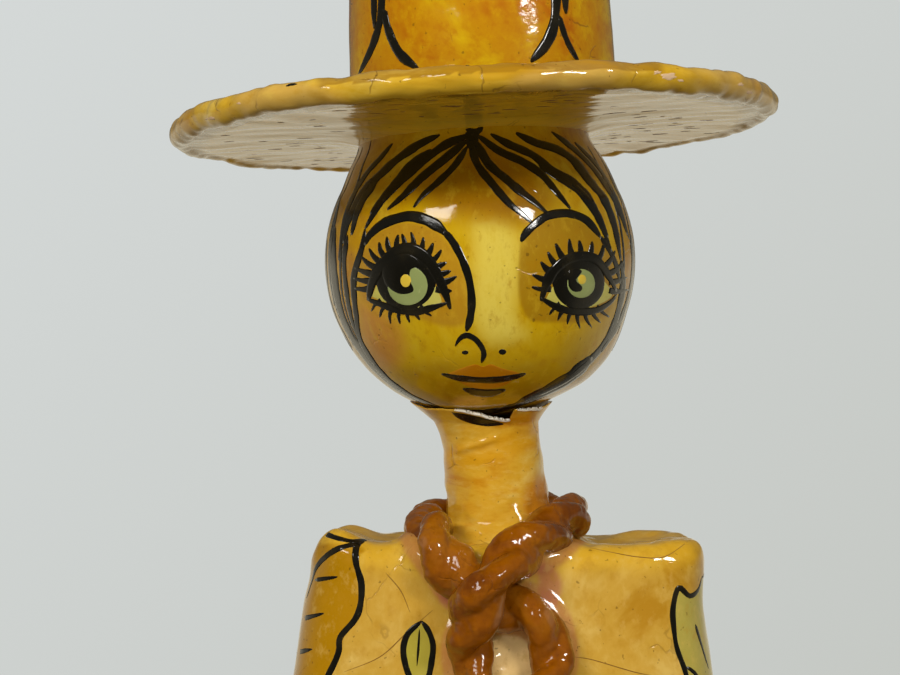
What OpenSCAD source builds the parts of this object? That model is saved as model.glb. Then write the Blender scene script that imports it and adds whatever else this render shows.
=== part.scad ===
// A hollow papier-mache lady on a wooden stick: a long flared dress, a ball head, a wide-brimmed hat
// and a twisted paper cord about the neck. She stands on Z = 0 and faces -Y.

/* [Dress] */
// Height of the top of the shoulder plate
dress_h = 300; // [298:1:302]
// Half the width at the shoulders
shoulder_half_w = 61; // [58:1:66]
// Half the depth at the shoulders
shoulder_half_d = 31; // [29:1:32]
// Half the width at the hem, before the flare
hem_half_w = 95; // [85:1:105]
// Half the depth at the hem, before the flare
hem_half_d = 68; // [60:1:70]
// How far the hem flares out beyond that
hem_flare = 5; // [0:1:10]
// Thickness of the paper shell
shell_t = 3.5; // [2.5:0.5:5]
// Thickness of the shoulder plate
plate_t = 6; // [4:0.5:8]
// Rise of the shoulder plate towards its two ends
shoulder_lift = 3; // [0:0.5:5]

/* [Base] */
// Thickness of the card that closes the hem
board_t = 4; // [3:0.5:6]
// Height of the plaster plug about the foot of the stick
plug_h = 26; // [15:1:40]
// Radius of the plaster plug at the board
plug_r = 36; // [25:1:45]

/* [Armature] */
// Radius of the centre stick
stick_r = 5; // [4:0.5:6]
// Radius of the cross bar in the shoulders
bar_r = 4; // [3:0.5:5]
// Depth of the cross bar below the top of the shoulders
bar_drop = 17; // [15:1:25]

/* [Neck and head] */
// Height of the head's centre above the shoulders
head_rise = 90.5; // [89.5:0.5:91.5]
// Sideways offset of the head's centre from the dress's centre
head_shift = 7.6; // [7:0.2:8]
// Radius of the ball head
head_r = 50; // [49.5:0.5:51]
// Thickness of the head's paper shell
head_t = 3.5; // [2.5:0.5:5]
// Radius of the neck at its waist
neck_r = 16; // [15.5:0.5:16.5]
// Sideways lean of the neck, in degrees
neck_lean = 8; // [7:0.5:9]

/* [Hat] */
// Tilt of the hat towards the head's lean, in degrees
hat_tilt = 3; // [0:0.5:5]
// Height of the brim's underside above the head's centre
brim_z = 42.3; // [42:0.1:43.5]
// Thickness of the brim's card
brim_t = 4.6; // [4:0.1:6]
// Outer radius of the brim, with its rolled edge
brim_r = 96.5; // [80:0.5:105]
// Radius of the rolled edge
roll_r = 3.5; // [3.2:0.1:4.5]
// Outer radius of the crown at the brim
crown_r = 42.8; // [38:0.2:46]
// Height of the crown's wall
crown_h = 57; // [40:1:80]
// How much the crown narrows to its top
crown_taper = 1.6; // [0:0.2:4]
// Sideways offset of the crown on the brim
crown_shift = 4.2; // [0:0.2:6]

/* [Neck cord] */
// Radius of the twisted pair
cord_r = 5; // [4:0.1:5]
// Twist from one section of the cord to the next, in degrees
cord_twist = 26; // [0:1:36]

/* [Hidden] */
$fn = 96;
far = 600;
glue = 0.1;

head_z = dress_h + head_rise;
stick_lean = atan(head_shift / head_z);
stick_top = head_z + 78;
lashing_r = 1.2;
strip_t = 0.8;
strip_half_w = 8;

neck_foot = [0.6, 0, dress_h];
neck_bore_r = 12.5;

brim_hole_r = 28.6;
wire_r = 1.2;
crown_z = brim_z + brim_t;
crown_t = 3;
lid_t = 4.5;

ochre = [0.80, 0.60, 0.22];
amber = [0.72, 0.50, 0.12];
rust = [0.50, 0.28, 0.06];
card = [0.62, 0.50, 0.34];
wood = [0.66, 0.50, 0.30];
plaster = [0.85, 0.83, 0.78];
steel = [0.45, 0.45, 0.46];

// ---- Shapes that repeat ----

function signed_power(v, e) = sign(v) * pow(abs(v), e);

// A closed solid through rings of points. Each ring has an even number of points and runs anticlockwise,
// seen from the last ring's side. The two ends are closed by strips between points i and n - 1 - i.
module loft(rings) {
    n = len(rings[0]);
    last = len(rings) - 1;
    strip = concat(
        [for (i = [0 : n / 2 - 2]) [i, i + 1, n - 1 - i]],
        [for (i = [0 : n / 2 - 2]) [i + 1, n - 2 - i, n - 1 - i]]
    );
    polyhedron(
        points = [for (ring = rings) each ring],
        faces = concat(
            strip,
            [for (j = [0 : last - 1], i = [0 : n - 1]) [j * n + i, (j + 1) * n + i, (j + 1) * n + (i + 1) % n]],
            [for (j = [0 : last - 1], i = [0 : n - 1]) [j * n + i, (j + 1) * n + (i + 1) % n, j * n + (i + 1) % n]],
            [for (t = strip) [last * n + t[2], last * n + t[1], last * n + t[0]]]
        ),
        convexity = 6
    );
}

// Things that stand along the leaning centre stick.
module along_stick() {
    rotate([0, -stick_lean, 0]) children();
}

module stick_bore() {
    along_stick() cylinder(r = stick_r + glue, h = far);
}

// Things that are placed from the head's centre, tilted with the hat.
module on_head() {
    translate([-head_shift, 0, head_z]) rotate([0, -hat_tilt, 0]) children();
}

// ---- Dress: a rounded box at the shoulders that opens to an oval at the hem ----

shell_step = 9;
shell_levels = [0, 8, 25, 50, 80, 115, 150, 185, 220, 250, 275, dress_h - plate_t];

function drop(z) = 1 - z / dress_h;
function flared(top, hem, z) = top + (hem - top) * drop(z) + hem_flare * pow(drop(z), 4);
function squareness(z) = 5 - 2.8 * sqrt(max(0, drop(z)));

// A point on the dress at parameter a and height z, moved in by inset.
function dress_point(a, z, inset) = [
    (flared(shoulder_half_w, hem_half_w, z) - inset) * signed_power(cos(a), 2 / squareness(z)),
    (flared(shoulder_half_d, hem_half_d, z) - inset) * signed_power(sin(a), 2 / squareness(z)),
    z
];

// The wall between two parameters, from one inset to a deeper one.
module dress_wall(from, to, outer, inner, levels) {
    loft([for (z = levels) concat(
        [for (a = [from : shell_step : to]) dress_point(a, z, outer)],
        [for (a = [to : -shell_step : from]) dress_point(a, z, inner)]
    )]);
}

module dress_front() {
    color(ochre) dress_wall(180, 360, 0, shell_t, shell_levels);
}

module dress_back() {
    color(ochre) dress_wall(0, 180, 0, shell_t, shell_levels);
}

// Paper strips glued inside the two side seams.
module dress_seam_strips() {
    levels = [for (z = shell_levels) if (z > board_t && z < dress_h - plate_t) z];
    color(card) for (side = [0, 180])
        dress_wall(side - shell_step, side + shell_step, shell_t, shell_t + strip_t, levels);
}

// One outline of the shoulder plate: inset and height of its edge, scaled about the middle.
function plate_ring(inset, depth, scale, lift) = [
    for (a = [0 : shell_step : 360 - shell_step])
        let (
            p = scale * dress_point(a, dress_h - depth, inset),
            end = max(0, abs(p[0]) - 25) / (shoulder_half_w - 25)
        )
        [p[0], p[1], dress_h - depth + lift * shoulder_lift * pow(end, 2)]
];

module shoulder_plate() {
    color(ochre) difference() {
        loft([
            plate_ring(0, plate_t, 1, 0),
            plate_ring(0.2, 3.2, 1, 0.6),
            plate_ring(1.3, 1.1, 1, 0.9),
            plate_ring(3.6, 0, 1, 1),
            plate_ring(3.6, 0, 0.75, 1),
            plate_ring(3.6, 0, 0.3, 1)
        ]);
        stick_bore();
    }
}

// ---- Base and armature ----

module base_board() {
    color(card) linear_extrude(board_t)
        polygon([for (a = [0 : shell_step : 360 - shell_step])
            let (p = dress_point(a, board_t, shell_t + glue)) [p[0], p[1]]]);
}

module ballast_plug() {
    color(plaster) difference() {
        translate([0, 0, board_t]) rotate_extrude()
            polygon([[0, 0], [plug_r, 0], [plug_r - 3, plug_h - 8], [plug_r - 10, plug_h - 2], [0, plug_h]]);
        stick_bore();
    }
}

module centre_stick() {
    color(wood) intersection() {
        along_stick() cylinder(r = stick_r, h = stick_top);
        translate([-far / 2, -far / 2, board_t]) cube([far, far, far]);
    }
}

bar_z = dress_h - bar_drop;
bar_y = stick_r + bar_r + glue;
bar_half_l = shoulder_half_w - shell_t - 2;
lashing_ring_r = stick_r + bar_r + lashing_r + 0.3;

module shoulder_bar() {
    color(wood) translate([-bar_half_l, bar_y, bar_z]) rotate([0, 90, 0]) cylinder(r = bar_r, h = 2 * bar_half_l);
}

// Two crossed loops of string that tie the bar to the stick, one over the other.
module bar_lashing() {
    color(card) translate([-bar_z * tan(stick_lean), bar_r + glue, bar_z]) for (side = [0, 1])
        rotate([0, 45 - 90 * side, 0]) rotate_extrude()
            translate([lashing_ring_r + side * (2 * lashing_r + glue), 0]) circle(r = lashing_r, $fn = 32);
}

// ---- Neck and head ----

module neck_tube() {
    profile = [
        [neck_bore_r, -5], [neck_r + 5, -5], [neck_r + 4.5, 0], [neck_r + 2, 1.6], [neck_r + 0.6, 5],
        [neck_r, 12], [neck_r - 0.2, 22], [neck_r, 31], [neck_r + 1, 37.5], [neck_r + 3.6, 42],
        [neck_r + 6.8, 45.5], [neck_r + 6.8, 49], [neck_bore_r, 49]
    ];
    color(amber) difference() {
        translate(neck_foot) rotate([0, -neck_lean, 0]) rotate_extrude() polygon(profile);
        translate([-far / 2, -far / 2, dress_h - far]) cube([far, far, far]);
        on_head() sphere(r = head_r + glue);
    }
}

// Half of the head's shell; side is -1 for the face and 1 for the back.
module head_half(side) {
    difference() {
        on_head() sphere(r = head_r);
        on_head() sphere(r = head_r - head_t);
        translate([-far / 2, side > 0 ? -far : 0, 0]) cube([far, far, far]);
        stick_bore();
    }
}

module head_front() {
    color(ochre) head_half(-1);
}

module head_back() {
    color(ochre) head_half(1);
}

// Paper strip glued round the inside of the head's seam.
module head_seam_strip() {
    color(card) difference() {
        on_head() intersection() {
            sphere(r = head_r - head_t - glue);
            translate([-far / 2, -strip_half_w, -far / 2]) cube([far, 2 * strip_half_w, far]);
        }
        on_head() sphere(r = head_r - head_t - glue - strip_t);
        stick_bore();
    }
}

// ---- Hat ----

// The fillet of paper between the head and the underside of the brim.
module hat_collar() {
    profile = [
        [40, 21.5], [45.9, 22.5], [42.9, 30], [39.4, 36.5], [38.9, 38.8], [40.6, 41], [45, brim_z], [26, brim_z]
    ];
    color(amber) on_head() difference() {
        rotate_extrude() polygon(profile);
        sphere(r = head_r + glue);
    }
}

disc_r = brim_r - roll_r - wire_r - 0.3;
roll_z = brim_z + brim_t / 2;

module brim_disc() {
    color(amber) on_head() difference() {
        translate([0, 0, brim_z]) cylinder(r = disc_r, h = brim_t);
        cylinder(r = brim_hole_r, h = far);
    }
}

module rim_ring(r) {
    on_head() translate([0, 0, roll_z]) rotate_extrude()
        translate([brim_r - roll_r, 0]) circle(r = r, $fn = 48);
}

// The paper that wraps the wire and the edge of the disc.
module brim_roll() {
    color(ochre) difference() {
        rim_ring(roll_r);
        rim_ring(wire_r);
        on_head() translate([0, 0, brim_z]) cylinder(r = disc_r, h = brim_t);
    }
}

module brim_wire() {
    color(steel) rim_ring(wire_r);
}

module crown_tube() {
    top_r = crown_r - crown_taper;
    color(amber) on_head() translate([crown_shift, 0, crown_z]) rotate_extrude()
        polygon([[crown_r - crown_t, 0], [crown_r, 0], [top_r, crown_h], [top_r - crown_t, crown_h]]);
}

module crown_lid() {
    lid_r = crown_r - crown_taper;
    color(amber) on_head() translate([crown_shift, 0, crown_z + crown_h]) rotate_extrude()
        polygon([[0, 0], [lid_r, 0], [lid_r - 0.3, lid_t - 2.8], [lid_r - 2.6, lid_t - 0.8], [lid_r - 8, lid_t], [0, lid_t]]);
}

// ---- Cord: two strands twisted together, round the neck and crossed twice down the front ----

cord_route = [
    [9.5, -45.8, 226], [9, -44.8, 236], [6.5, -43.8, 246], [1.5, -42.6, 253], [-5, -41.8, 258.5],
    [-10, -41.2, 265], [-11.3, -40.6, 273], [-11.3, -43.2, 280], [-9.5, -47.6, 286], [-6, -49.4, 292],
    [1, -42.6, 300.2], [8, -34, 304.2], [13.5, -25, 306], [19, -13, 308], [21.8, 1, 308.5],
    [17, 16, 308], [2, 24.5, 307], [-14, 20.5, 306], [-24, 4, 305.8], [-24.5, -12, 305.7],
    [-22.5, -25, 305.7], [-20.5, -32.5, 303.8], [-17.5, -36.8, 298.5], [-13, -37.6, 292], [-6, -37.4, 287.4],
    [0, -38, 285], [6, -38.6, 283.4], [11, -39.3, 279.5], [13, -40.2, 273], [12.5, -42.4, 266],
    [8, -48.2, 260], [1.5, -53.2, 253.5], [-4.5, -50.8, 246.5], [-8.5, -46.6, 238], [-10, -46.2, 227]
];
cord_rings = 80;
cord_spans = len(cord_route) - 1;

function unit(v) = v / norm(v);

// A smooth curve through the route's points, at u from 0 to the number of spans.
function route_at(u) =
    let (
        i = min(floor(u), cord_spans - 1),
        t = u - i,
        b = cord_route[i],
        c = cord_route[i + 1],
        a = i > 0 ? cord_route[i - 1] : 2 * b - c,
        d = i + 2 <= cord_spans ? cord_route[i + 2] : 2 * c - b
    )
    (2 * b + (c - a) * t + (2 * a - 5 * b + 4 * c - d) * t * t + (3 * b - a - 3 * c + d) * t * t * t) / 2;

cord_path = [for (i = [0 : cord_rings - 1]) route_at(i * cord_spans / (cord_rings - 1))];
cord_ahead = [for (i = [0 : cord_rings - 1]) unit(cord_path[min(i + 1, cord_rings - 1)] - cord_path[max(i - 1, 0)])];

// A direction square to the cord at each section, carried along it without twisting.
cord_side = [
    for (i = 0, v = unit(cross(cord_ahead[0], [1, 0, 0])); i < cord_rings;
        i = i + 1, v = unit(v - (v * cord_ahead[min(i, cord_rings - 1)]) * cord_ahead[min(i, cord_rings - 1)])) v
];

// The strand is a half-round lobe; turn sets the two strands opposite each other.
module cord_strand(turn) {
    lobe = [for (i = [0 : 9]) let (a = -87 + i * 174 / 9) cord_r * (0.86 + 0.14 * cos(a)) * [cos(a), sin(a)]];
    loft([for (i = [0 : cord_rings - 1])
        let (
            x = cord_side[i],
            y = cross(cord_ahead[i], x),
            spin = turn + i * cord_twist,
            from_end = min(i, cord_rings - 1 - i),
            taper = from_end == 0 ? 0.45 : from_end == 1 ? 0.85 : 1
        )
        [for (p = lobe)
            cord_path[i] + taper * ((p[0] * cos(spin) - p[1] * sin(spin)) * x + (p[0] * sin(spin) + p[1] * cos(spin)) * y)]
    ]);
}

module cord_strand_a() {
    color(rust) cord_strand(0);
}

module cord_strand_b() {
    color(rust) cord_strand(180);
}

base_board();
ballast_plug();
centre_stick();
shoulder_bar();
bar_lashing();
dress_front();
dress_back();
dress_seam_strips();
shoulder_plate();
neck_tube();
head_front();
head_back();
head_seam_strip();
hat_collar();
brim_disc();
brim_roll();
brim_wire();
crown_tube();
crown_lid();
cord_strand_a();
cord_strand_b();
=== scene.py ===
"""The looks of a papier-mache lady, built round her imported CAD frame.

Shapes are in millimetres in the row's own frame, and turn into metres where a mesh is made. Each papered
surface is one closed skin that stands for the CAD pieces under it, with thin raised paint laid on it.
"""

import functools
import math
import random

import bmesh
import bpy
import numpy as np
from mathutils import Matrix, Vector, kdtree, noise
from mathutils.bvhtree import BVHTree


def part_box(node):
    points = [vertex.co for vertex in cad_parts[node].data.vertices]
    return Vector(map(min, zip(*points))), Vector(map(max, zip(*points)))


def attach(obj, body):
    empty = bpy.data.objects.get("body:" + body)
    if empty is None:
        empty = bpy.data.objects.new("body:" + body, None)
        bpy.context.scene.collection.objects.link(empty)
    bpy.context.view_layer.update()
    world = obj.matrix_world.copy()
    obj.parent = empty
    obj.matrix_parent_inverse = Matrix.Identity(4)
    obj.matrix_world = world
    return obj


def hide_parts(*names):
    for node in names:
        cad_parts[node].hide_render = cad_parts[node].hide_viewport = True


MM = 0.001

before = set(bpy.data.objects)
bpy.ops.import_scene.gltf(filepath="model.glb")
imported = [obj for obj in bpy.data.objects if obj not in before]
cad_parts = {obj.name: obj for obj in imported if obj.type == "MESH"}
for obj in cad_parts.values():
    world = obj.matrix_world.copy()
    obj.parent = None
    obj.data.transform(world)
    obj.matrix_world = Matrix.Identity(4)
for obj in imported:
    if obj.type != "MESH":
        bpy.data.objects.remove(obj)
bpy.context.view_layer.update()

# ---- Places taken from the frame, in millimetres ----


def box_mm(node):
    low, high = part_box(node)
    return low / MM, high / MM


head_low, head_high = box_mm("head_front")
HEAD_R = (head_high.x - head_low.x) / 2
HEAD = Vector(((head_low.x + head_high.x) / 2, 0, (head_low.z + head_high.z) / 2))
DRESS_H = box_mm("neck_tube")[0].z
HEM_W = box_mm("dress_front")[1].x
HEM_D = -box_mm("dress_front")[0].y
BOARD_T = box_mm("base_board")[1].z

# ---- The rest repeats the CAD's own dimensions ----

SHOULDER_W = 61
SHOULDER_D = 31
HEM_FLARE = 5
SHELL = 3.5

# The hat's own frame, from the head's middle up. The crown stands a little to one side on the brim.
HAT_TILT = math.radians(-3)
HAT = Matrix.Translation(HEAD) @ Matrix.Rotation(HAT_TILT, 4, "Y")
TO_HAT = HAT.inverted()
CROWN_SHIFT = 4.2

# The viewer stands in front, a little to the left and a little below the head's centre.
EYE = HEAD + Vector((-9.5, -518, -24.4))
LENS = 64


# ---- Camera, stage and light ----


def make_camera():
    data = bpy.data.cameras.new("camera")
    data.lens = LENS
    data.sensor_width = 36
    data.clip_start = 0.01
    camera = bpy.data.objects.new("camera", data)
    camera.location = EYE * MM
    camera.rotation_euler = (math.radians(90), 0, 0)
    bpy.context.scene.collection.objects.link(camera)
    bpy.context.scene.camera = camera


def softbox(name, azimuth, elevation, distance, size, power, mirrored=True):
    """A rectangular lamp aimed at the head. Azimuth 0 is in front, and positive is to the viewer's right.

    A lamp that isn't mirrored lights the figure but doesn't show in its varnish.
    """
    a, e = math.radians(azimuth), math.radians(elevation)
    way = Vector((math.sin(a) * math.cos(e), -math.cos(a) * math.cos(e), math.sin(e)))
    data = bpy.data.lights.new(name, "AREA")
    data.shape = "RECTANGLE"
    data.size, data.size_y = size
    data.energy = power
    data.color = (1, 0.98, 0.94)
    lamp = bpy.data.objects.new(name, data)
    lamp.location = HEAD * MM + way * distance
    lamp.rotation_euler = way.to_track_quat("Z", "Y").to_euler()
    lamp.visible_camera = False
    lamp.visible_glossy = mirrored
    bpy.context.scene.collection.objects.link(lamp)


def make_world():
    """A pale studio: even where the camera sees it, and darker in front of the figure as a light."""
    world = bpy.data.worlds.new("studio")
    world.use_nodes = True
    bpy.context.scene.world = world
    tree = world.node_tree
    tree.nodes.clear()
    g = Graph(tree)
    way = g.node("ShaderNodeTexCoord").outputs["Generated"]
    xyz = g.node("ShaderNodeSeparateXYZ", Vector=way)
    across = g.math("MULTIPLY", xyz.outputs["X"], 0.9)
    down = g.math("MULTIPLY", xyz.outputs["Z"], -1.1)
    fall = g.math("ADD", g.math("ADD", across, down), 0.45, clamp=True)
    seen = g.mix(fall, rgb(212, 216, 215), rgb(196, 199, 194))
    behind = g.math("ADD", g.math("MULTIPLY", xyz.outputs["Y"], 0.85), 0.38, clamp=True)
    lit = g.mix(behind, (0.03, 0.03, 0.025, 1), (0.66, 0.61, 0.47, 1))
    above = g.math("MULTIPLY", xyz.outputs["Z"], 7.0, clamp=True)
    high = g.mix(behind, (0.07, 0.07, 0.06, 1), (0.14, 0.13, 0.10, 1))
    lit = g.mix(above, lit, high)
    path = g.node("ShaderNodeLightPath")
    colour = g.mix(path.outputs["Is Camera Ray"], lit, seen)
    back = g.node("ShaderNodeBackground", Color=colour)
    out = g.node("ShaderNodeOutputWorld")
    tree.links.new(back.outputs[0], out.inputs["Surface"])


def make_floor():
    """A round sheet of pale paper, a metre in radius, that fades out towards its edge."""
    steps = 96
    ring = [(math.cos(a), math.sin(a), 0) for a in np.linspace(0, 2 * math.pi, steps, False)]
    mesh = bpy.data.meshes.new("floor")
    mesh.from_pydata(ring, [], [tuple(range(steps))])
    floor = bpy.data.objects.new("floor", mesh)
    bpy.context.scene.collection.objects.link(floor)
    made, g = material("floor_paper")
    grain = g.band(g.noise(g.place(), 400, 5.0), 0.3, 0.7)
    seen = g.mix(grain, rgb(206, 208, 206), rgb(216, 218, 216))
    tone = g.mix(g.node("ShaderNodeLightPath").outputs["Is Camera Ray"], rgb(84, 82, 76), seen)
    shader = g.node("ShaderNodeBsdfDiffuse", Color=tone)
    far = g.node("ShaderNodeVectorMath", Vector=g.node("ShaderNodeTexCoord").outputs["Object"])
    far.operation = "LENGTH"
    fade = g.node("ShaderNodeMixShader", Fac=g.band(far.outputs["Value"], 0.3, 0.98))
    g.tree.links.new(shader.outputs[0], fade.inputs[1])
    g.tree.links.new(g.node("ShaderNodeBsdfTransparent").outputs[0], fade.inputs[2])
    g.tree.links.new(fade.outputs[0], g.node("ShaderNodeOutputMaterial").inputs["Surface"])
    mesh.materials.append(made)


# ---- Node graphs ----


def rgb(r, g, b):
    """An sRGB colour from 0 to 255, as the linear colour that shaders take."""
    scaled = [c / 255 for c in (r, g, b)]
    return (*[c / 12.92 if c <= 0.04045 else ((c + 0.055) / 1.055) ** 2.4 for c in scaled], 1)


class Graph:
    """Short ways to add and link shader nodes."""

    def __init__(self, tree):
        self.tree = tree

    def node(self, kind, **inputs):
        made = self.tree.nodes.new(kind)
        for name, value in inputs.items():
            self.set(made.inputs[name.replace("_", " ")], value)
        return made

    def set(self, socket, value):
        if isinstance(value, bpy.types.NodeSocket):
            self.tree.links.new(value, socket)
        else:
            socket.default_value = value

    def math(self, operation, a, b=0.0, clamp=False):
        made = self.tree.nodes.new("ShaderNodeMath")
        made.operation = operation
        made.use_clamp = clamp
        self.set(made.inputs[0], a)
        self.set(made.inputs[1], b)
        return made.outputs[0]

    def mix(self, factor, a, b, blend="MIX"):
        made = self.tree.nodes.new("ShaderNodeMix")
        made.data_type = "RGBA"
        made.blend_type = blend
        self.set(made.inputs[0], factor)
        self.set(made.inputs[6], a)
        self.set(made.inputs[7], b)
        return made.outputs[2]

    def place(self, scale=(1, 1, 1), turn=(0, 0, 0)):
        """The object's own coordinates, stretched and turned."""
        spot = self.node("ShaderNodeTexCoord").outputs["Object"]
        made = self.node("ShaderNodeMapping", Vector=spot)
        made.inputs["Scale"].default_value = scale
        made.inputs["Rotation"].default_value = turn
        return made.outputs[0]

    def noise(self, place, scale, detail=3.0, rough=0.55, warp=0.0):
        return self.node(
            "ShaderNodeTexNoise", Vector=place, Scale=scale, Detail=detail, Roughness=rough, Distortion=warp
        ).outputs["Fac"]

    def band(self, value, low, high):
        """0 below low and 1 above high, with a smooth step between."""
        made = self.node("ShaderNodeMapRange", Value=value)
        made.interpolation_type = "SMOOTHSTEP"
        made.inputs["From Min"].default_value = low
        made.inputs["From Max"].default_value = high
        return made.outputs[0]

    def attribute(self, name):
        made = self.tree.nodes.new("ShaderNodeAttribute")
        made.attribute_name = name
        return made.outputs["Fac"]


def material(name):
    """An empty material and the graph to fill it with."""
    made = bpy.data.materials.new(name)
    made.use_nodes = True
    made.node_tree.nodes.clear()
    return made, Graph(made.node_tree)


def finish_material(g, colour, height, bump, roughness, coat=0.0, coat_roughness=0.1):
    """A principled surface. bump is its (strength, distance in millimetres).

    Under varnish the paint itself has hardly any gloss, because the two have much the same index.
    """
    normal = g.node("ShaderNodeBump", Height=height, Strength=bump[0], Distance=bump[1] * MM).outputs[0]
    shader = g.node(
        "ShaderNodeBsdfPrincipled",
        Base_Color=colour,
        Roughness=roughness,
        Specular_IOR_Level=0.5 - 0.45 * coat,
        Normal=normal,
        Coat_Weight=coat,
        Coat_Roughness=coat_roughness,
        Coat_Normal=normal,
    )
    out = g.node("ShaderNodeOutputMaterial")
    g.tree.links.new(shader.outputs[0], out.inputs["Surface"])


def plain_material(name, colour, roughness, grain):
    """One bare tone with a fine grain."""
    made, g = material(name)
    speckle = g.noise(g.place(), grain, 5.0)
    tone = g.mix(g.band(speckle, 0.3, 0.7), tuple(0.92 * c for c in colour[:3]) + (1,), colour)
    finish_material(g, tone, speckle, (0.2, 0.2), roughness)
    return made


def painted(name, tones, masks=(), streak=(1, 1, 1), ripple=0.25, wear=0.5, crackle=0.5):
    """Varnished brush paint on paper.

    tones is (low, middle, high), and masks is [(attribute, colour, strength)].
    """
    made, g = material(name)
    where = g.place()
    along = g.place(streak)
    patches = g.noise(along, 34, 5.0, 0.62, 0.5)
    colour = g.mix(g.band(patches, 0.50, 0.36), tones[1], tones[0])
    colour = g.mix(g.band(patches, 0.52, 0.66), colour, tones[2])
    brush = g.noise(along, 260, 5.0, 0.65)
    for attribute, tone, strength in masks:
        edge = g.attribute(attribute)
        for rough in (brush, patches):
            edge = g.math("ADD", edge, g.math("MULTIPLY", g.math("SUBTRACT", rough, 0.5), 0.5))
        colour = g.mix(g.math("MULTIPLY", g.band(edge, 0.1, 0.9), strength), colour, tone)
    colour = g.mix(g.math("MULTIPLY", g.band(brush, 0.50, 0.72), 0.40), colour, tones[2])
    colour = g.mix(g.math("MULTIPLY", g.band(brush, 0.50, 0.30), 0.40), colour, tones[0])
    # Hairline cracks that wander through the varnish where the paper has moved.
    warp = g.node("ShaderNodeTexNoise", Vector=where, Scale=90.0, Detail=3.0).outputs["Color"]
    bent = g.tree.nodes.new("ShaderNodeVectorMath")
    bent.operation = "MULTIPLY_ADD"
    g.set(bent.inputs[0], warp)
    g.set(bent.inputs[1], (0.012, 0.012, 0.012))
    g.set(bent.inputs[2], where)
    cells = g.node("ShaderNodeTexVoronoi", Vector=bent.outputs[0], Scale=40.0)
    cells.feature = "DISTANCE_TO_EDGE"
    crack = g.band(cells.outputs["Distance"], 0.014, 0.004)
    crack = g.math("MULTIPLY", crack, g.band(g.noise(where, 60, 2.0), 0.54, 0.62))
    colour = g.mix(g.math("MULTIPLY", crack, crackle), colour, rgb(96, 62, 12))
    # Dirt specks and pinholes.
    speck = g.band(g.noise(where, 640, 2.0, 0.4), 0.70, 0.75)
    colour = g.mix(g.math("MULTIPLY", speck, wear), colour, rgb(70, 42, 6))
    relief = g.math("ADD", g.math("MULTIPLY", brush, 0.35), g.noise(where, 120, 3.0, 0.5))
    relief = g.math("SUBTRACT", relief, g.math("MULTIPLY", crack, 0.6))
    finish_material(g, colour, relief, (ripple, 0.35), 0.5, coat=1.0, coat_roughness=0.06)
    return made


def brush_paint(name, colour, worn):
    """A line or fill of paint: nearly one tone, thinner and paler where the brush ran dry."""
    made, g = material(name)
    where = g.place()
    dry = g.noise(where, 420, 4.0, 0.7)
    tone = g.mix(g.band(dry, 0.60, 0.82), colour, worn)
    tone = g.mix(g.math("MULTIPLY", g.band(g.noise(where, 90, 2.0), 0.50, 0.7), 0.3), tone, worn)
    finish_material(g, tone, dry, (0.25, 0.2), 0.45, coat=1.0, coat_roughness=0.07)
    return made


# ---- Meshes ----


def mesh_object(name, verts, faces, made):
    """An object from millimetre points, smooth shaded, that rides on the figure's one body."""
    mesh = bpy.data.meshes.new(name)
    mesh.from_pydata([Vector(v) * MM for v in verts], [], faces)
    mesh.polygons.foreach_set("use_smooth", [True] * len(mesh.polygons))
    mesh.materials.append(made)
    mesh.update()
    obj = bpy.data.objects.new(name, mesh)
    bpy.context.scene.collection.objects.link(obj)
    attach(obj, "root")
    return obj


def ring_faces(rings, size, start=0, loop=False):
    """Quads between neighbouring rings of points, each ring closed on itself."""
    faces = []
    for j in range(rings if loop else rings - 1):
        a, b = start + j * size, start + (j + 1) % rings * size
        for i in range(size):
            k = (i + 1) % size
            faces.append((a + i, a + k, b + k, b + i))
    return faces


def closed_rings(rings, loop=False, flip=False):
    """Points and faces of a closed surface through rings; its two ends are fans unless it loops."""
    size = len(rings[0])
    verts = [p for ring in rings for p in ring]
    faces = ring_faces(len(rings), size, loop=loop)
    if not loop:
        for ring, first, turn in ((rings[0], 0, True), (rings[-1], (len(rings) - 1) * size, False)):
            pole = len(verts)
            verts.append(sum((Vector(p) for p in ring), Vector()) / size)
            for i in range(size):
                a, b = first + i, first + (i + 1) % size
                faces.append((b, a, pole) if turn else (a, b, pole))
    if flip:
        faces = [tuple(reversed(f)) for f in faces]
    return verts, faces


def join(parts):
    """Several (points, faces) as one."""
    verts, faces = [], []
    for more_verts, more_faces in parts:
        start = len(verts)
        verts += more_verts
        faces += [tuple(i + start for i in f) for f in more_faces]
    return verts, faces


def bumps(p, layers):
    """Soft lumps at a millimetre point. layers is [(height, size, seed)]."""
    total = 0.0
    for height, size, seed in layers:
        spot = (p[0] / size + seed, p[1] / size + 2 * seed, p[2] / size + 3 * seed)
        total += height * noise.noise(Vector(spot))
    return total


def relief(verts, faces, rule):
    """Moves each point along its own normal by rule(point), in millimetres."""
    mesh = bpy.data.meshes.new("relief")
    mesh.from_pydata(verts, [], faces)
    mesh.update()
    moved = [Vector(v.co) + v.normal * rule(v.co) for v in mesh.vertices]
    bpy.data.meshes.remove(mesh)
    return moved


def smooth(points, step):
    """A curve through the points of any dimension, with a point every step or so."""
    if len(points) < 3:
        points = [points[0], tuple((a + b) / 2 for a, b in zip(points[0], points[-1])), points[-1]]
    p = np.array(points, float)
    p = np.vstack([2 * p[0] - p[1], p, 2 * p[-1] - p[-2]])
    out = []
    for i in range(1, len(p) - 2):
        a, b, c, d = p[i - 1 : i + 3]
        bend, turn = 2 * a - 5 * b + 4 * c - d, 3 * b - a - 3 * c + d
        count = max(2, int(np.linalg.norm(c - b) / step))
        for t in np.linspace(0, 1, count, False):
            out.append((2 * b + (c - a) * t + bend * t**2 + turn * t**3) / 2)
    out.append(p[-2])
    return [tuple(q) for q in out]


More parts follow.
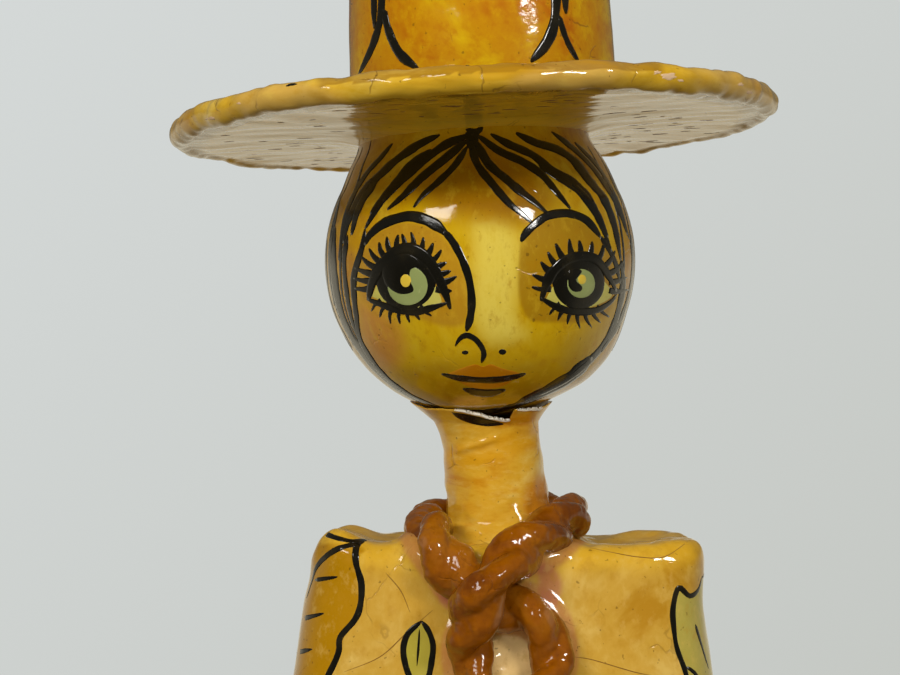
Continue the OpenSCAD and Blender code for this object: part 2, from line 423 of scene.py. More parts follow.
def table(rows, x):
    """The other columns of a table at x, read straight between its rows; its first column rises."""
    rows = np.array(rows, float)
    return [float(np.interp(x, rows[:, 0], rows[:, k])) for k in range(1, rows.shape[1])]


def unit_step(x, low, high):
    """0 below low and 1 above high, with a smooth step between."""
    t = min(1.0, max(0.0, (x - low) / (high - low)))
    return t * t * (3 - 2 * t)


# ---- Neck cord's route ----

# The route of the cord's middle, as in the CAD: up from one end, round the neck, and down to the other.
CORD_ROUTE = [
    (9.5, -45.8, 226), (9, -44.8, 236), (6.5, -43.8, 246), (1.5, -42.6, 253), (-5, -41.8, 258.5),
    (-10, -41.2, 265), (-11.3, -40.6, 273), (-11.3, -43.2, 280), (-9.5, -47.6, 286), (-6, -49.4, 292),
    (1, -42.6, 300.2), (8, -34, 304.2), (13.5, -25, 306), (19, -13, 308), (21.8, 1, 308.5), (17, 16, 308),
    (2, 24.5, 307), (-14, 20.5, 306), (-24, 4, 305.8), (-24.5, -12, 305.7), (-22.5, -25, 305.7),
    (-20.5, -32.5, 303.8), (-17.5, -36.8, 298.5), (-13, -37.6, 292), (-6, -37.4, 287.4), (0, -38, 285),
    (6, -38.6, 283.4), (11, -39.3, 279.5), (13, -40.2, 273), (12.5, -42.4, 266), (8, -48.2, 260),
    (1.5, -53.2, 253.5), (-4.5, -50.8, 246.5), (-8.5, -46.6, 238), (-10, -46.2, 227),
]
# The whole cord's radius, and the length in which its strands go once round each other.
CORD_R = 5.6
CORD_PITCH = 42
# Below this height nothing on the dress is near the cord.
CORD_FOOT = 215
# The middle of the small loop that the cord leaves on the chest: sideways and up.
LOOP = (0.3, 268)


# ---- Dress ----


def drop(z):
    """How far down the dress a height is: 0 at the shoulders and 1 at the hem."""
    return min(1.0, max(0.0, 1 - z / DRESS_H))


def dress_size(z):
    """The dress at a height: half its width, half its depth, and how square its outline is."""
    flare = HEM_FLARE * drop(z) ** 4
    half_w = SHOULDER_W + (HEM_W - HEM_FLARE - SHOULDER_W) * drop(z) + flare
    half_d = SHOULDER_D + (HEM_D - HEM_FLARE - SHOULDER_D) * drop(z) + flare
    return half_w, half_d, 5 - 2.8 * math.sqrt(drop(z))


# Points in a ring of the dress, and the finer steps that its outline's length is measured in.
DRESS_COLUMNS = 320
ARC = np.linspace(0, 2 * math.pi, 1441)


@functools.lru_cache(maxsize=2000)
def dress_outline(z, inset=0.0, side=None):
    """The dress's outline at a height, in even steps from the front middle towards the viewer's right."""
    half_w, half_d, power = dress_size(z)
    side = inset if side is None else side
    s, c = np.sin(ARC), np.cos(ARC)
    x = (half_w - side) * np.sign(s) * np.abs(s) ** (2 / power)
    y = -(half_d - inset) * np.sign(c) * np.abs(c) ** (2 / power)
    length = np.concatenate([[0], np.cumsum(np.hypot(np.diff(x), np.diff(y)))])
    at = np.linspace(0, length[-1], DRESS_COLUMNS, False)
    return np.interp(at, length, x), np.interp(at, length, y), length[-1]


def dress_ring(z, inset=0.0, side=None):
    x, y, _ = dress_outline(z, inset, side)
    return [Vector((a, b, z)) for a, b in zip(x, y)]


# The rounding of the shoulders' edge.
EDGE_R = 7.0


def shoulder_top(x, y):
    """How far the top of the shoulders stands above its plain height."""
    left = 3.0 * math.exp(-(((x + 53) / 8) ** 2))
    right = 1.5 * unit_step(x, 30, 50)
    uneven = 0.8 + 0.5 * noise.noise(Vector((x / 12, 3, 5)))
    rim = (3.6 - 1.4 * unit_step(x, -20, 20)) * unit_step(-y, 8, 21) * uneven
    dish = -1.4 * unit_step(abs(x), 22, 34) * (1 - unit_step(abs(y), 8, 22)) * (1 - unit_step(abs(x), 46, 56))
    return left + right + rim + dish


def dress_rings():
    """The dress's outside from the ground up, over the shoulders' edge and in across their top."""
    levels = [*np.arange(0, 230, 2.4), *np.arange(230, DRESS_H - EDGE_R, 1.3)]
    rings = [dress_ring(z) for z in levels]
    for turn in np.linspace(0, 90, 10):
        inset = EDGE_R * (1 - math.cos(math.radians(turn)))
        z = DRESS_H - EDGE_R + EDGE_R * math.sin(math.radians(turn))
        rings.append([Vector((p.x, p.y, z)) for p in dress_ring(DRESS_H - EDGE_R, inset, 0.5 * inset)])
    edge = rings[-1]
    for share in np.linspace(0.96, 0.1, 30):
        rings.append([Vector((p.x * share, p.y * share, DRESS_H)) for p in edge])
    for ring in rings:
        for p in ring:
            lift = unit_step(p.z, DRESS_H - 16, DRESS_H)
            p.z += lift * shoulder_top(p.x, p.y)
            p.x += 1.3 * unit_step(p.z, 280, 298)
            p.x -= 1.5 * unit_step(-p.x, 30, 60) * unit_step(300 - p.z, 4, 40)
    return rings


def make_dress(made):
    outer = closed_rings([dress_ring(BOARD_T + 0.2, SHELL), dress_ring(0, SHELL), *dress_rings()])
    outer = (relief(*outer, dress_relief), outer[1])
    inner_levels = [BOARD_T + 1, *np.arange(20, DRESS_H - 20, 14), DRESS_H - EDGE_R]
    inner = closed_rings([dress_ring(z, SHELL) for z in inner_levels], flip=True)
    obj = mesh_object("dress_skin", *join([outer, inner]), made)
    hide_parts("dress_front", "dress_back", "shoulder_plate")
    return obj


def route_finder():
    points = smooth(CORD_ROUTE, 1.0)
    finder = kdtree.KDTree(len(points))
    for i, p in enumerate(points):
        finder.insert(p, i)
    finder.balance()
    return finder


CORD_FINDER = route_finder()


def loop_distance(p):
    """How far a point is from the middle of the cord's small loop, as seen from the front."""
    return math.hypot(p[0] - LOOP[0], p[2] - LOOP[1])


def dress_relief(p):
    """The paper's lumps, and the paste that beds the cord."""
    calm = unit_step(p[2], 0.5, 5)
    lumps = bumps(p, [(0.9, 55, 3), (0.45, 22, 7), (0.16, 8, 11)])
    ridge = bumps(p, [(1.1, 15, 5), (0.45, 6, 2)]) * unit_step(p[2], 288, 299)
    paste = 0.0
    if p[1] < 0 and p[2] > CORD_FOOT:
        paste = 2.4 * (1 - unit_step(CORD_FINDER.find(p)[2], 7, 12))
        paste += 2.6 * (1 - unit_step(loop_distance(p), 3, 9))
    return calm * (lumps + ridge) + paste


# ---- Head, neck and hat ----

# Points in a ring of the head, of the neck, and of the brim.
HEAD_COLUMNS = 300
NECK_COLUMNS = 220
BRIM_COLUMNS = 420


def head_ring(r, z):
    """A ring about the head's axis; the face is a little flatter up and down than a ball."""
    ring = []
    for i in range(HEAD_COLUMNS):
        a = 2 * math.pi * i / HEAD_COLUMNS
        front = max(0.0, math.cos(a)) ** 3
        h = abs(z) / HEAD_R
        power = 2 + 0.2 * front
        flat = (1 - h**power) ** (1 / power) * HEAD_R if h < 1 else 0.0
        ball = math.sqrt(max(0.0, 1 - h * h)) * HEAD_R
        bulge = (flat - ball) * unit_step(r, 2, 22) * (1 - unit_step(z, 18, 34))
        ring.append(HEAD + Vector(((r + bulge) * math.sin(a), -(r + bulge) * math.cos(a), z)))
    return ring


def head_rings():
    """The head from under the chin up, and then the collar that leans with the hat."""
    rings = []
    for turn in np.linspace(-88.5, 25, 150):
        e = math.radians(turn)
        rings.append(head_ring(HEAD_R * math.cos(e), HEAD_R * math.sin(e)))
    collar = smooth([(44.6, 22.5), (41.4, 30), (38.6, 35), (37.2, 38.6), (36.8, 43.5)], 0.8)
    for r, z in collar:
        lean = Matrix.Rotation(HAT_TILT * unit_step(z, 22, 38), 4, "Y")
        rings.append([HEAD + lean @ (p - HEAD) for p in head_ring(r, z)])
    return rings


def head_relief(p):
    q = Vector(p) - HEAD
    jowl = 1.5 * unit_step(q.x, 8, 30) * unit_step(-q.z, 14, 32) * (1 - unit_step(-q.z, 36, 45))
    return jowl + bumps(p, [(0.55, 42, 2), (0.22, 16, 9), (0.07, 6, 4)]) * unit_step(q.z, -48, -40)


def make_head(made):
    outer = closed_rings(head_rings())
    outer = (relief(*outer, head_relief), outer[1])
    inner = HEAD_R - SHELL
    rises = np.radians(np.linspace(-86, 52, 40))
    hollow = [head_ring(inner * math.cos(e), inner * math.sin(e)) for e in rises]
    obj = mesh_object("head_skin", *join([outer, closed_rings(hollow, flip=True)]), made)
    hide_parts("head_front", "head_back", "hat_collar")
    return obj


# Height, sideways centre and radius of the neck.
NECK = [
    (296, 1.2, 33), (298.5, 1.1, 30), (301, 0.9, 25.5), (304, 0.3, 20.5), (308, -0.5, 17.7),
    (315, -1.7, 16.4), (322, -2.5, 16.0), (330, -3.6, 15.8), (335, -4.7, 16.2), (339, -5.5, 17.2),
    (341.5, -6.2, 19.2), (343.5, -6.7, 21.2), (346, -7.2, 23.6),
]


def torn_rim(a):
    """The height of the neck's torn upper edge, at angle a from the front towards the viewer's right."""
    x = 23 * math.sin(a)
    front = unit_step(math.cos(a), 0.1, 0.6)
    tear = -1.6 - 3.4 * unit_step(x, -10.5, 9) * (1 - unit_step(x, 9.5, 10.8))
    rough = 0.22 * noise.noise(Vector((math.sin(a) * 9, math.cos(a) * 9, 4)))
    return 345.4 + front * tear + rough


def neck_ring(height, inset=0.0, sink=0.0):
    """A ring of the neck, where height gives each angle's own height."""
    ring = []
    for i in range(NECK_COLUMNS):
        a = 2 * math.pi * i / NECK_COLUMNS
        h = height(torn_rim(a))
        cx, r = table(NECK, h)
        ring.append(Vector((cx + (r - inset) * math.sin(a), -(r - inset) * math.cos(a), h - sink)))
    return ring


def neck_rings():
    """The neck from its foot up to the torn edge, and a short way down inside it."""
    rows = []
    for z in [*np.arange(296, 343, 0.7), *np.linspace(343, 346, 5)]:
        rows.append(neck_ring(lambda top: z - unit_step(z, 334, 346) * (346 - top)))
    for depth, inset in ((0.0, 0.9), (1.2, 1.3), (4.0, 3.0)):
        rows.append(neck_ring(lambda top: top - depth, inset, 0.1))
    return rows


def neck_relief(p):
    """Folds round the neck, and one crease across its front."""
    fold = 0.5 * math.sin(p[2] * 0.55 + 2.2 * noise.noise(Vector(p) / 14)) * unit_step(p[2], 303, 312)
    calm = 1 - unit_step(p[2], 338, 342)
    wrinkled = 0.35 * (1 - unit_step(p[2], 312, 328)) * bumps(p, [(1, 3.4, 3)])
    crease = 0.0
    if p[1] < 0:
        along = min(1.0, max(0.0, (p[0] + 14) / 10.5))
        off = (p[2] - 330.6 - 3.6 * along) / 1.1
        past = max(0.0, abs(p[0] + 8.7) - 5.2) / 1.5
        crease = 0.9 * math.exp(-(off**2) - past**2)
    return calm * (0.7 * fold * noise.noise(Vector(p) / 9 + Vector((5, 5, 5))) + wrinkled + crease
                   + bumps(p, [(0.7, 15, 6), (0.25, 6, 8)]))


def make_neck(made):
    verts, faces = closed_rings(neck_rings())
    verts = relief(verts, faces, neck_relief)
    obj = mesh_object("neck_skin", verts, faces, made)
    rust = [(v[1] < 0) * (1 - unit_step(math.hypot(v[0] - 12, 0.7 * (v[2] - 313)), 2, 10)) for v in verts]
    set_mask(obj, "rust", rust)
    set_mask(obj, "amber", [1 - unit_step(abs(v[2] - 332 - 0.3 * v[0]), 1, 7) for v in verts])
    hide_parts("neck_tube")
    return obj


# The chin's black line runs on below the tear, and white paper shows along the torn edge.
LENS_BELOW_TEAR = [
    (-9.6, -48.4), (-4, -49.2), (2, -50.6), (8.4, -52.5), (3, -53.3), (-3, -52.3), (-7.6, -50.4),
]


def paint_neck(neck, paints):
    tree = tree_of(neck)
    lens = Paint(tree, seen_from_front(tree, HEAD))
    lens.patch(LENS_BELOW_TEAR, 0.08, 0.7)
    lens.finish("chin_line_below", paints["black"], "neck_paper")
    torn = Paint(tree, lambda *p: tree.find_nearest(Vector(p))[:2])
    for first, last, width in ((-25, 26, 1.4), (30, 62, 1.1)):
        spots = []
        for turn in np.arange(first, last, 1.5):
            a = math.radians(turn)
            h = torn_rim(a) - 0.25
            cx, r = table(NECK, h)
            spots.append((cx + (r + 0.1) * math.sin(a), -(r + 0.1) * math.cos(a), h))
        torn.line(spots, width, height=0.4, start=0.3, end=0.1, step=0.7)
    torn.finish("torn_paper", paints["torn"], "neck_paper")


def hat_ring(r, z, shift=0.0, lumps=None, size=BRIM_COLUMNS):
    """A ring about the hat's axis, in the hat's frame."""
    ring = []
    for i in range(size):
        a = 2 * math.pi * i / size
        dr, dz = lumps(a, r) if lumps else (0.0, 0.0)
        ring.append(HAT @ Vector((shift + (r + dr) * math.sin(a), -(r + dr) * math.cos(a), z + dz)))
    return ring


# The middle of the rolled edge, in the hat's frame: how far out and how high.
RIM_R = 92.9
RIM_Z = 44.4


def rim_lumps(a, r):
    """The brim's edge wanders in and out and up and down."""
    at = Vector((math.sin(a), -math.cos(a), 0))
    share = unit_step(r, 60, 92)
    out = 1.1 * noise.noise(at * 3.2) + 0.8 * noise.noise(at * 8 + Vector((4, 1, 0)))
    up = 0.9 * noise.noise(at * 2.4 + Vector((0, 7, 3))) + 0.5 * noise.noise(at * 9 + Vector((2, 2, 8)))
    return share * out, share * up


def make_brim(made):
    under = smooth([(33, 38.9), (37, 38.9), (41, 39.8), (47, 40.7), (60, 41.1), (75, 41.2), (86, 41.0)], 1.6)
    turns = np.radians(np.linspace(-128, 128, 22))
    rim = [(RIM_R + 3.7 * math.cos(t), RIM_Z + 3.9 * math.sin(t)) for t in turns]
    over = smooth([(86, 46.9), (75, 46.8), (60, 46.8), (46, 46.9), (33, 47.0)], 1.6)
    profile = [*under, *rim, *over]
    shape = closed_rings([hat_ring(r, z, lumps=rim_lumps) for r, z in profile], loop=True)

    def brim_relief(p):
        q = TO_HAT @ Vector(p)
        r = math.hypot(q.x, q.y)
        edge = unit_step(r, 84, 91)
        folds = bumps(p, [(0.8, 9, 1), (0.4, 4, 5)])
        flat = bumps((q.x, q.y * 3, q.z), [(0.35, 26, 3), (0.12, 7, 2)])
        return edge * folds + (1 - edge) * flat

    shape = (relief(*shape, brim_relief), shape[1])
    obj = mesh_object("brim_skin", *shape, made)
    masks = {"underside": [], "worn_rim": [], "crown_foot": []}
    for v in shape[0]:
        q = TO_HAT @ v
        r = math.hypot(q.x, q.y)
        # The underside is a brighter yellow: partly its own paint, partly painted light in the brim's shade.
        # At the back it also covers the rim's bottom, as painted light on that shaded edge.
        masks["underside"].append((q.z < 43.5) * (1 - unit_step(r - 9 * unit_step(q.y, 0, 30), 83, 89)))
        worn = max(unit_step(abs(q.x + 2), 78, 88), 0.7 * unit_step(bumps(q, [(1, 30, 6)]), -0.1, 0.2))
        masks["worn_rim"].append(unit_step(r, 86, 90) * worn)
        masks["crown_foot"].append((q.z > 45.5) * (1 - unit_step(abs(q.x - CROWN_SHIFT), 44, 50)))
    for name, values in masks.items():
        set_mask(obj, name, values)
    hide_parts("brim_disc", "brim_roll")
    return obj


# Where the paint has come off the rim, as the viewer sees it: the middle, and half the width and height.
CHIPS = [
    (57.5, 61.4, 1.6, 0.9), (61.6, 60.0, 2.7, 1.3), (65, 58.8, 1.3, 0.6), (84.6, 57.6, 1.3, 0.9),
    (87.4, 55.0, 1.5, 0.8), (-87, 46.5, 1.6, 0.8), (-78, 51.4, 0.9, 0.5), (30, 61.8, 0.8, 0.4),
]


# Two stray strokes of black on the rim's top, as the viewer sees them.
RIM_STROKES = [[(-62.6, 57.0), (-61, 57.5), (-59, 57.6)], [(-4.2, 63.6), (-2.6, 63.9)]]
# How many dark flecks there are under the brim.
FLECKS = 110


def paint_brim(brim, paints):
    tree = tree_of(brim)
    chips = Paint(tree, seen_from_front(tree, HEAD))
    for u, v, wide, high in CHIPS:
        outline = []
        for t in np.linspace(0, 2 * math.pi, 14, False):
            far = 1 + 0.9 * noise.noise(Vector((u + 3 * math.cos(t), v + 3 * math.sin(t), 4)))
            outline.append((u + wide * far * math.cos(t), v + high * far * math.sin(t)))
        chips.patch(outline, 0.05, 0.5)
    chips.finish("rim_chips", paints["chip"], "brim_paper")
    strokes = Paint(tree, chips.place)
    for points in RIM_STROKES:
        strokes.line(points, 1.3, start=0.3, end=0.3)
    strokes.finish("rim_strokes", paints["black"], "brim_paper")
    flecks = Paint(tree, under_brim(tree))
    draw = random.Random(7)
    for _ in range(FLECKS):
        turn, reach = draw.uniform(0, 2 * math.pi), draw.uniform(50, 84)
        x, y, length = reach * math.sin(turn), reach * math.cos(turn), draw.uniform(1.5, 5.5)
        points = [(x, y), (x + length, y + draw.uniform(-0.6, 0.6))]
        flecks.line(points, draw.uniform(0.6, 1.5), 0.05, start=0.5, end=0.5)
    flecks.finish("brim_flecks", paints["fleck"], "brim_paper")


# The crown's outside, in the hat's frame: how far out and how high.
CROWN_WALL = [(43.9, 46.3), (43.1, 48.6), (42.8, 52), (42.4, 75), (41.7, 98), (41.3, 103)]
CROWN_TOP = [(40.8, 106), (38.8, 107.8), (34, 108.5), (20, 108.2), (4, 108.1)]


def make_crown(made):
    profile = smooth([*CROWN_WALL, *CROWN_TOP], 1.1)
    shape = closed_rings([hat_ring(r, z, shift=CROWN_SHIFT, size=320) for r, z in profile])
    shape = (relief(*shape, lambda p: bumps(p, [(0.7, 38, 1), (0.3, 14, 6), (0.08, 5, 2)])), shape[1])
    obj = mesh_object("crown_skin", *shape, made)
    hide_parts("crown_tube", "crown_lid")
    return obj


# ---- Neck cord ----


def make_cord(made):
    """Two soft strands twisted together, pasted over so that they merge where they touch."""
    path = [Vector(p) for p in smooth(CORD_ROUTE, 1.2)]
    count = len(path)
    ahead = [(path[min(i + 1, count - 1)] - path[max(i - 1, 0)]).normalized() for i in range(count)]
    side = ahead[0].cross(Vector((1, 0, 0))).normalized()
    sides, run = [], [0.0]
    for i in range(count):
        side = (side - ahead[i] * side.dot(ahead[i])).normalized()
        sides.append(side)
        if i:
            run.append(run[-1] + (path[i] - path[i - 1]).length)
    around = np.linspace(0, 2 * math.pi, 18, False)
    parts = []
    for phase in (0, math.pi):
        rings = []
        for i in range(count):
            x, y = sides[i], ahead[i].cross(sides[i])
            spin = phase + 2 * math.pi * run[i] / CORD_PITCH + 0.5 * noise.noise(path[i] / 20)
            end = min(run[i], run[-1] - run[i])
            shrink = math.sqrt(unit_step(end, -1.5, 7))
            swell = 1.04 + 0.32 * unit_step(path[i].z, 264, 284) - 0.14 * unit_step(path[i].y, -30, -5)
            full = CORD_R * shrink * swell
            middle = path[i] + (x * math.cos(spin) + y * math.sin(spin)) * 0.37 * full
            r = 0.70 * full * (1 + 0.12 * noise.noise(path[i] / 11 + Vector((phase, 0, 0))))
            rings.append([middle + (x * math.cos(t) + y * math.sin(t)) * r for t in around])
        parts.append(closed_rings(rings))
    rough = mesh_object("cord_rough", *join(parts), made)
    remesh = rough.modifiers.new("remesh", "REMESH")
    remesh.mode = "VOXEL"
    remesh.voxel_size = 0.6 * MM
    soften = rough.modifiers.new("soften", "SMOOTH")
    soften.factor = 0.5
    soften.iterations = 9
    bpy.context.view_layer.update()
    mesh = bpy.data.meshes.new_from_object(rough.evaluated_get(bpy.context.evaluated_depsgraph_get()))
    bpy.data.objects.remove(rough)
    verts = [v.co / MM for v in mesh.vertices]
    faces = [tuple(p.vertices) for p in mesh.polygons]
    bpy.data.meshes.remove(mesh)
    layers = [(0.5, 7, 1), (0.3, 3.2, 4), (0.2, 1.7, 9), (0.6, 18, 2)]
    verts = relief(verts, faces, lambda p: bumps(p, layers))
    obj = mesh_object("neck_cord", verts, faces, made)
    # Pale pinkish patches on the loop: partly rubbed paint, partly a painted sheen that stands for highlights
    # on the cord's ridges.
    wear_and_sheen_values = [unit_step(bumps(v, [(1, 9, 6)]), 0.25, 0.5) * unit_step(v[2], 270, 280) for v in verts]
    set_mask(obj, "wear_and_sheen", wear_and_sheen_values)
    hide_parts("cord_strand_a", "cord_strand_b")
    return obj


# ---- Paint laid on a skin ----


def tree_of(obj):
    """A search tree over an object's mesh, in millimetres."""
    verts = [v.co / MM for v in obj.data.vertices]
    return BVHTree.FromPolygons(verts, [tuple(p.vertices) for p in obj.data.polygons])


def seen_from_front(tree, centre):
    """(u, v) is a place on the upright plane through centre, as the viewer sees it laid over the skin."""

    def place(u, v):
        target = centre + Vector((u, 0, v))
        found = tree.ray_cast(EYE, (target - EYE).normalized())
        if found[0] is None:
            found = tree.find_nearest(target)
        return found[:2]

    return place


def about_hat(tree):
    """(turn, height): degrees from the front towards the viewer's right, and height in the hat's frame."""

    def place(turn, height):
        a = math.radians(turn)
        way = Vector((math.sin(a), -math.cos(a), 0))
        start = HAT @ (Vector((CROWN_SHIFT, 0, height)) + way * 120)
        return tree.ray_cast(start, HAT.to_3x3() @ -way)[:2]

    return place


def under_brim(tree):
    """(x, y) in the hat's own frame, looked at from straight below."""

    def place(x, y):
        return tree.ray_cast(HAT @ Vector((x, y, 20)), HAT.to_3x3() @ Vector((0, 0, 1)))[:2]

    return place


def about_head(tree):
    """(turn, rise): degrees from the front towards the viewer's right, and degrees up from level."""

    def place(turn, rise):
        a, e = math.radians(turn), math.radians(rise)
        way = Vector((math.sin(a) * math.cos(e), -math.cos(a) * math.cos(e), math.sin(e)))
        return tree.ray_cast(HEAD + way * 120, -way)[:2]

    return place


def about_dress(tree):
    """(s, z): millimetres round the dress from its front middle towards the viewer's right, and height."""

    def place(s, z):
        x, y, length = dress_outline(min(max(z, 0), DRESS_H - EDGE_R))
        at = (s / length % 1) * DRESS_COLUMNS
        i = int(at) % DRESS_COLUMNS
        k = (i + 1) % DRESS_COLUMNS
        t = at - int(at)
        spot = Vector((x[i] * (1 - t) + x[k] * t, y[i] * (1 - t) + y[k] * t, z))
        return tree.find_nearest(spot)[:2]

    return place


def round_dress(p):
    """The place round the dress, (s, z), that is nearest to a point: about_dress the other way about."""
    x, y, length = dress_outline(float(min(max(round(p[2]), 0), DRESS_H - EDGE_R)))
    s = int(np.argmin((x - p[0]) ** 2 + (y - p[1]) ** 2)) / DRESS_COLUMNS * length
    return (s if s < length / 2 else s - length), p[2]


# Across a brush line: place from side to side, and height.
# The top is nearly flat and the edges go under the skin.
LINE_SHAPE = ((-1, -1), (-0.9, 0.85), (-0.5, 1), (0.5, 1), (0.9, 0.85), (1, -1))


class Paint:
    """Raised brush marks that gather into one object."""

    def __init__(self, tree, place, seen=False):
        """With seen, a line has its width as the viewer sees it, and not as it is on the skin."""
        self.tree, self.place, self.seen = tree, place, seen
        self.verts, self.faces = [], []

    def lay(self, p, height):
        hit, normal, _, _ = self.tree.find_nearest(p)
        return hit + normal * height

    def line(self, points, width, height=0.09, start=0.25, end=0.25, step=0.9, place=None):
        """A brush line through chart points; start and end are the shares of its length that taper."""
        place = place or self.place
        spots = [place(*p) for p in smooth(points, step)]
        spots = [s for s in spots if s[0] is not None]
        count = len(spots)
        if count < 2:
            return
        first = len(self.verts)
        for i, (p, normal) in enumerate(spots):
            ahead = spots[min(i + 1, count - 1)][0] - spots[max(i - 1, 0)][0]
            side = ahead.cross(normal).normalized()
            t = i / (count - 1)
            taper = min(1.0, (t / start) if start else 1, ((1 - t) / end) if end else 1)
            press = (0.22 + 0.78 * taper**0.6) * (1 + 0.22 * noise.noise(p / 4))
            w = width / 2 * press
            if place is self.place and self.seen:
                away = (p - EYE).normalized()
                w /= max(0.45, (side - away * side.dot(away)).length)
            for k, h in LINE_SHAPE:
                self.verts.append(self.lay(p + side * (w * k), h * height))
        size = len(LINE_SHAPE)
        self.faces += ring_faces(count, size, first)
        last = first + size * (count - 1)
        self.faces.append(tuple(first + i for i in reversed(range(size))))
        self.faces.append(tuple(last + i for i in range(size)))

    def patch(self, outline, height=0.06, step=1.0, place=None):
        """A filled shape inside a closed outline that its middle can see all of."""
        place = place or self.place
        points = smooth([*outline, outline[0]], step)[:-1]
        middle = np.mean(points, axis=0)
        reach = max(math.dist(p, middle) for p in points)
        rings = max(2, int(reach / (1.4 * step)))
        size = len(points)
        first = len(self.verts)
        for j in range(rings):
            share = 1 - j / rings
            for p in points:
                spot, _ = place(*(middle + (np.array(p) - middle) * share))
                self.verts.append(self.lay(spot, -0.08 if j == 0 else height))
        spot, _ = place(*middle)
        top, bottom = len(self.verts), len(self.verts) + 1
        self.verts += [self.lay(spot, height), self.lay(spot, -0.5)]
        self.faces += ring_faces(rings, size, first)
        inner = first + (rings - 1) * size
        for i in range(size):
            k = (i + 1) % size
            self.faces.append((inner + i, inner + k, top))
            self.faces.append((first + k, first + i, bottom))

    def dot(self, u, v, a, b, height=0.1):
        around = np.linspace(0, 2 * math.pi, 18, False)
        outline = [(u + a * math.cos(t), v + b * math.sin(t)) for t in around]
        self.patch(outline, height, min(0.6, a / 3))

    def finish(self, name, made, slot):
        obj = mesh_object(name, self.verts, self.faces, made)
        fix_facing(obj)
        return obj


def fix_facing(obj):
    """Turns every closed island of paint the right way out."""
    b = bmesh.new()
    b.from_mesh(obj.data)
    bmesh.ops.recalc_face_normals(b, faces=b.faces)
    b.to_mesh(obj.data)
    b.free()


# ---- The painted face, in millimetres on the upright plane through the head's middle ----

# The hair's strands as (width, points), and how much heavier than that the brush came down.
HAIR_WEIGHT = 1.4
HAIR = [
    # The parting's left side.
    (1.5, [(-3.9, 37.5), (-8.0, 31.3), (-13.5, 25.8), (-18.2, 21.7), (-21.3, 17.7)]),
    (1.9, [(-4.2, 39.4), (-11.4, 33.3), (-18.9, 27.2), (-24.4, 21.7), (-29.8, 17)]),
    (1.9, [(-3.0, 41.3), (-10.7, 38.1), (-17.5, 33.3), (-24.4, 27.2), (-31.2, 20.7), (-36.3, 12.5)]),
    (1.8, [(-15.5, 36.4), (-22.3, 31.3), (-26.4, 26.5), (-31.8, 19.7), (-37, 10.8)]),
    (1.9, [(-12.8, 41.2), (-18.9, 38.4), (-25.7, 34), (-31.2, 29.2), (-34.9, 25.2), (-39.3, 17),
           (-41.4, 8.8)]),
    (1.2, [(-28.1, 38.4), (-31.8, 34), (-36.6, 28.6), (-41.4, 20.4), (-44.1, 11.5), (-45.5, 0.6)]),
    (1.7, [(-26.4, 25.2), (-31.2, 20.4), (-35.3, 15.6)]),
    (1.3, [(-34.6, 27.2), (-38.7, 21.7), (-42.1, 14.3), (-44.1, 6.1)]),
    (1.1, [(-44.8, 22.4), (-46.5, 14.3), (-48.2, 4.7), (-48.5, -4.1), (-47, -14)]),
    (2.2, [(-47.6, 19), (-49.4, 8), (-49.7, -2), (-48.6, -11), (-46, -19), (-41.4, -27.6)]),
    # Its right side.
    (1.8, [(-3.0, 39.5), (-0.8, 32), (4.3, 25.2), (9.7, 19), (13.8, 15.6), (17.2, 12.6)]),
    (2.0, [(-1.6, 39.8), (2.9, 32), (8.3, 27.2), (13.8, 22.6), (17.9, 19.4), (22.3, 15.6)]),
    (1.8, [(-0.4, 41.0), (6.3, 36.1), (13.8, 32.6), (19.9, 28.6), (24.7, 23.1), (29.5, 17.3)]),
    (1.8, [(3.6, 41.5), (9.7, 38.1), (17.2, 34.7), (23.3, 29.9), (29.5, 26.5), (34.2, 22.4), (37, 17.7),
           (40, 10.8), (42.8, 3.4)]),
    (1.9, [(19.2, 31.6), (25.4, 27.9), (32.2, 23.1), (37.6, 16.3), (41.7, 8.1)]),
    (1.9, [(11.8, 41.8), (17.9, 38.8), (25.4, 36.4), (30.8, 32.6), (35.6, 26.5), (40.4, 20.4),
           (43.8, 11.5), (45.8, 0.6)]),
    (1.3, [(23.3, 42.2), (28.8, 38.1), (34.9, 32.6), (39.7, 26.5), (44.5, 18.3), (47.9, 8.8)]),
    (1.1, [(30.8, 38.8), (37, 32.6), (41.7, 25.8), (45.8, 17), (48.5, 7.4)]),
    # The lines that run down past the cheeks to the chin.
    (1.5, [(-37, 10.8), (-38, 4.7), (-40.4, -3.5), (-40.7, -8.9), (-40, -16.4), (-38.7, -24.6),
           (-34.6, -32.1), (-29.1, -38.2), (-22.3, -43), (-16.2, -45.7), (-9.4, -48.2)]),
    (2.0, [(-34.6, -32.6), (-29.1, -38.4), (-22.3, -43.2), (-16.2, -45.9), (-10, -48)]),
    (2.5, [(-46.8, 11.5), (-47.5, 4.7), (-47.2, -4.1), (-45.8, -13), (-43.4, -20.5), (-39.3, -27.6),
           (-33.9, -34.8), (-26.4, -41.3), (-19.6, -45.4)]),
    (1.2, [(-42.7, 8.8), (-43.8, 0.6), (-43.1, -8.9), (-41.4, -18.4), (-38.7, -26.6)]),
    (1.8, [(45.8, 0.6), (46.5, -6.2), (45.8, -13), (43.8, -19.8), (40.4, -26.6), (35.6, -32.1),
           (30.1, -36.8), (23.3, -40.9), (17.2, -43.7), (11.8, -46.2)]),
    (3.4, [(36.6, -31), (30.1, -37), (23.3, -41.2), (17.2, -44), (12.4, -46.3), (9, -47.8)]),
    (2.0, [(48.9, 9), (49.8, 1), (49.2, -7), (47.2, -15), (43.9, -22.4), (39.4, -29)]),
    (1.3, [(39, 8.5), (42.4, 3.4), (44.4, -1.4), (45.6, -7)]),
]

PARTING = [
    (1.6, [(-3.6, 42.8), (-3.2, 39), (-2.6, 36.2)]),
    (1.5, [(-0.6, 42.9), (-1.4, 40), (-1.0, 37)]),
    (1.4, [(-4.4, 43), (-1.2, 42.2), (1.2, 43.6)]),
]

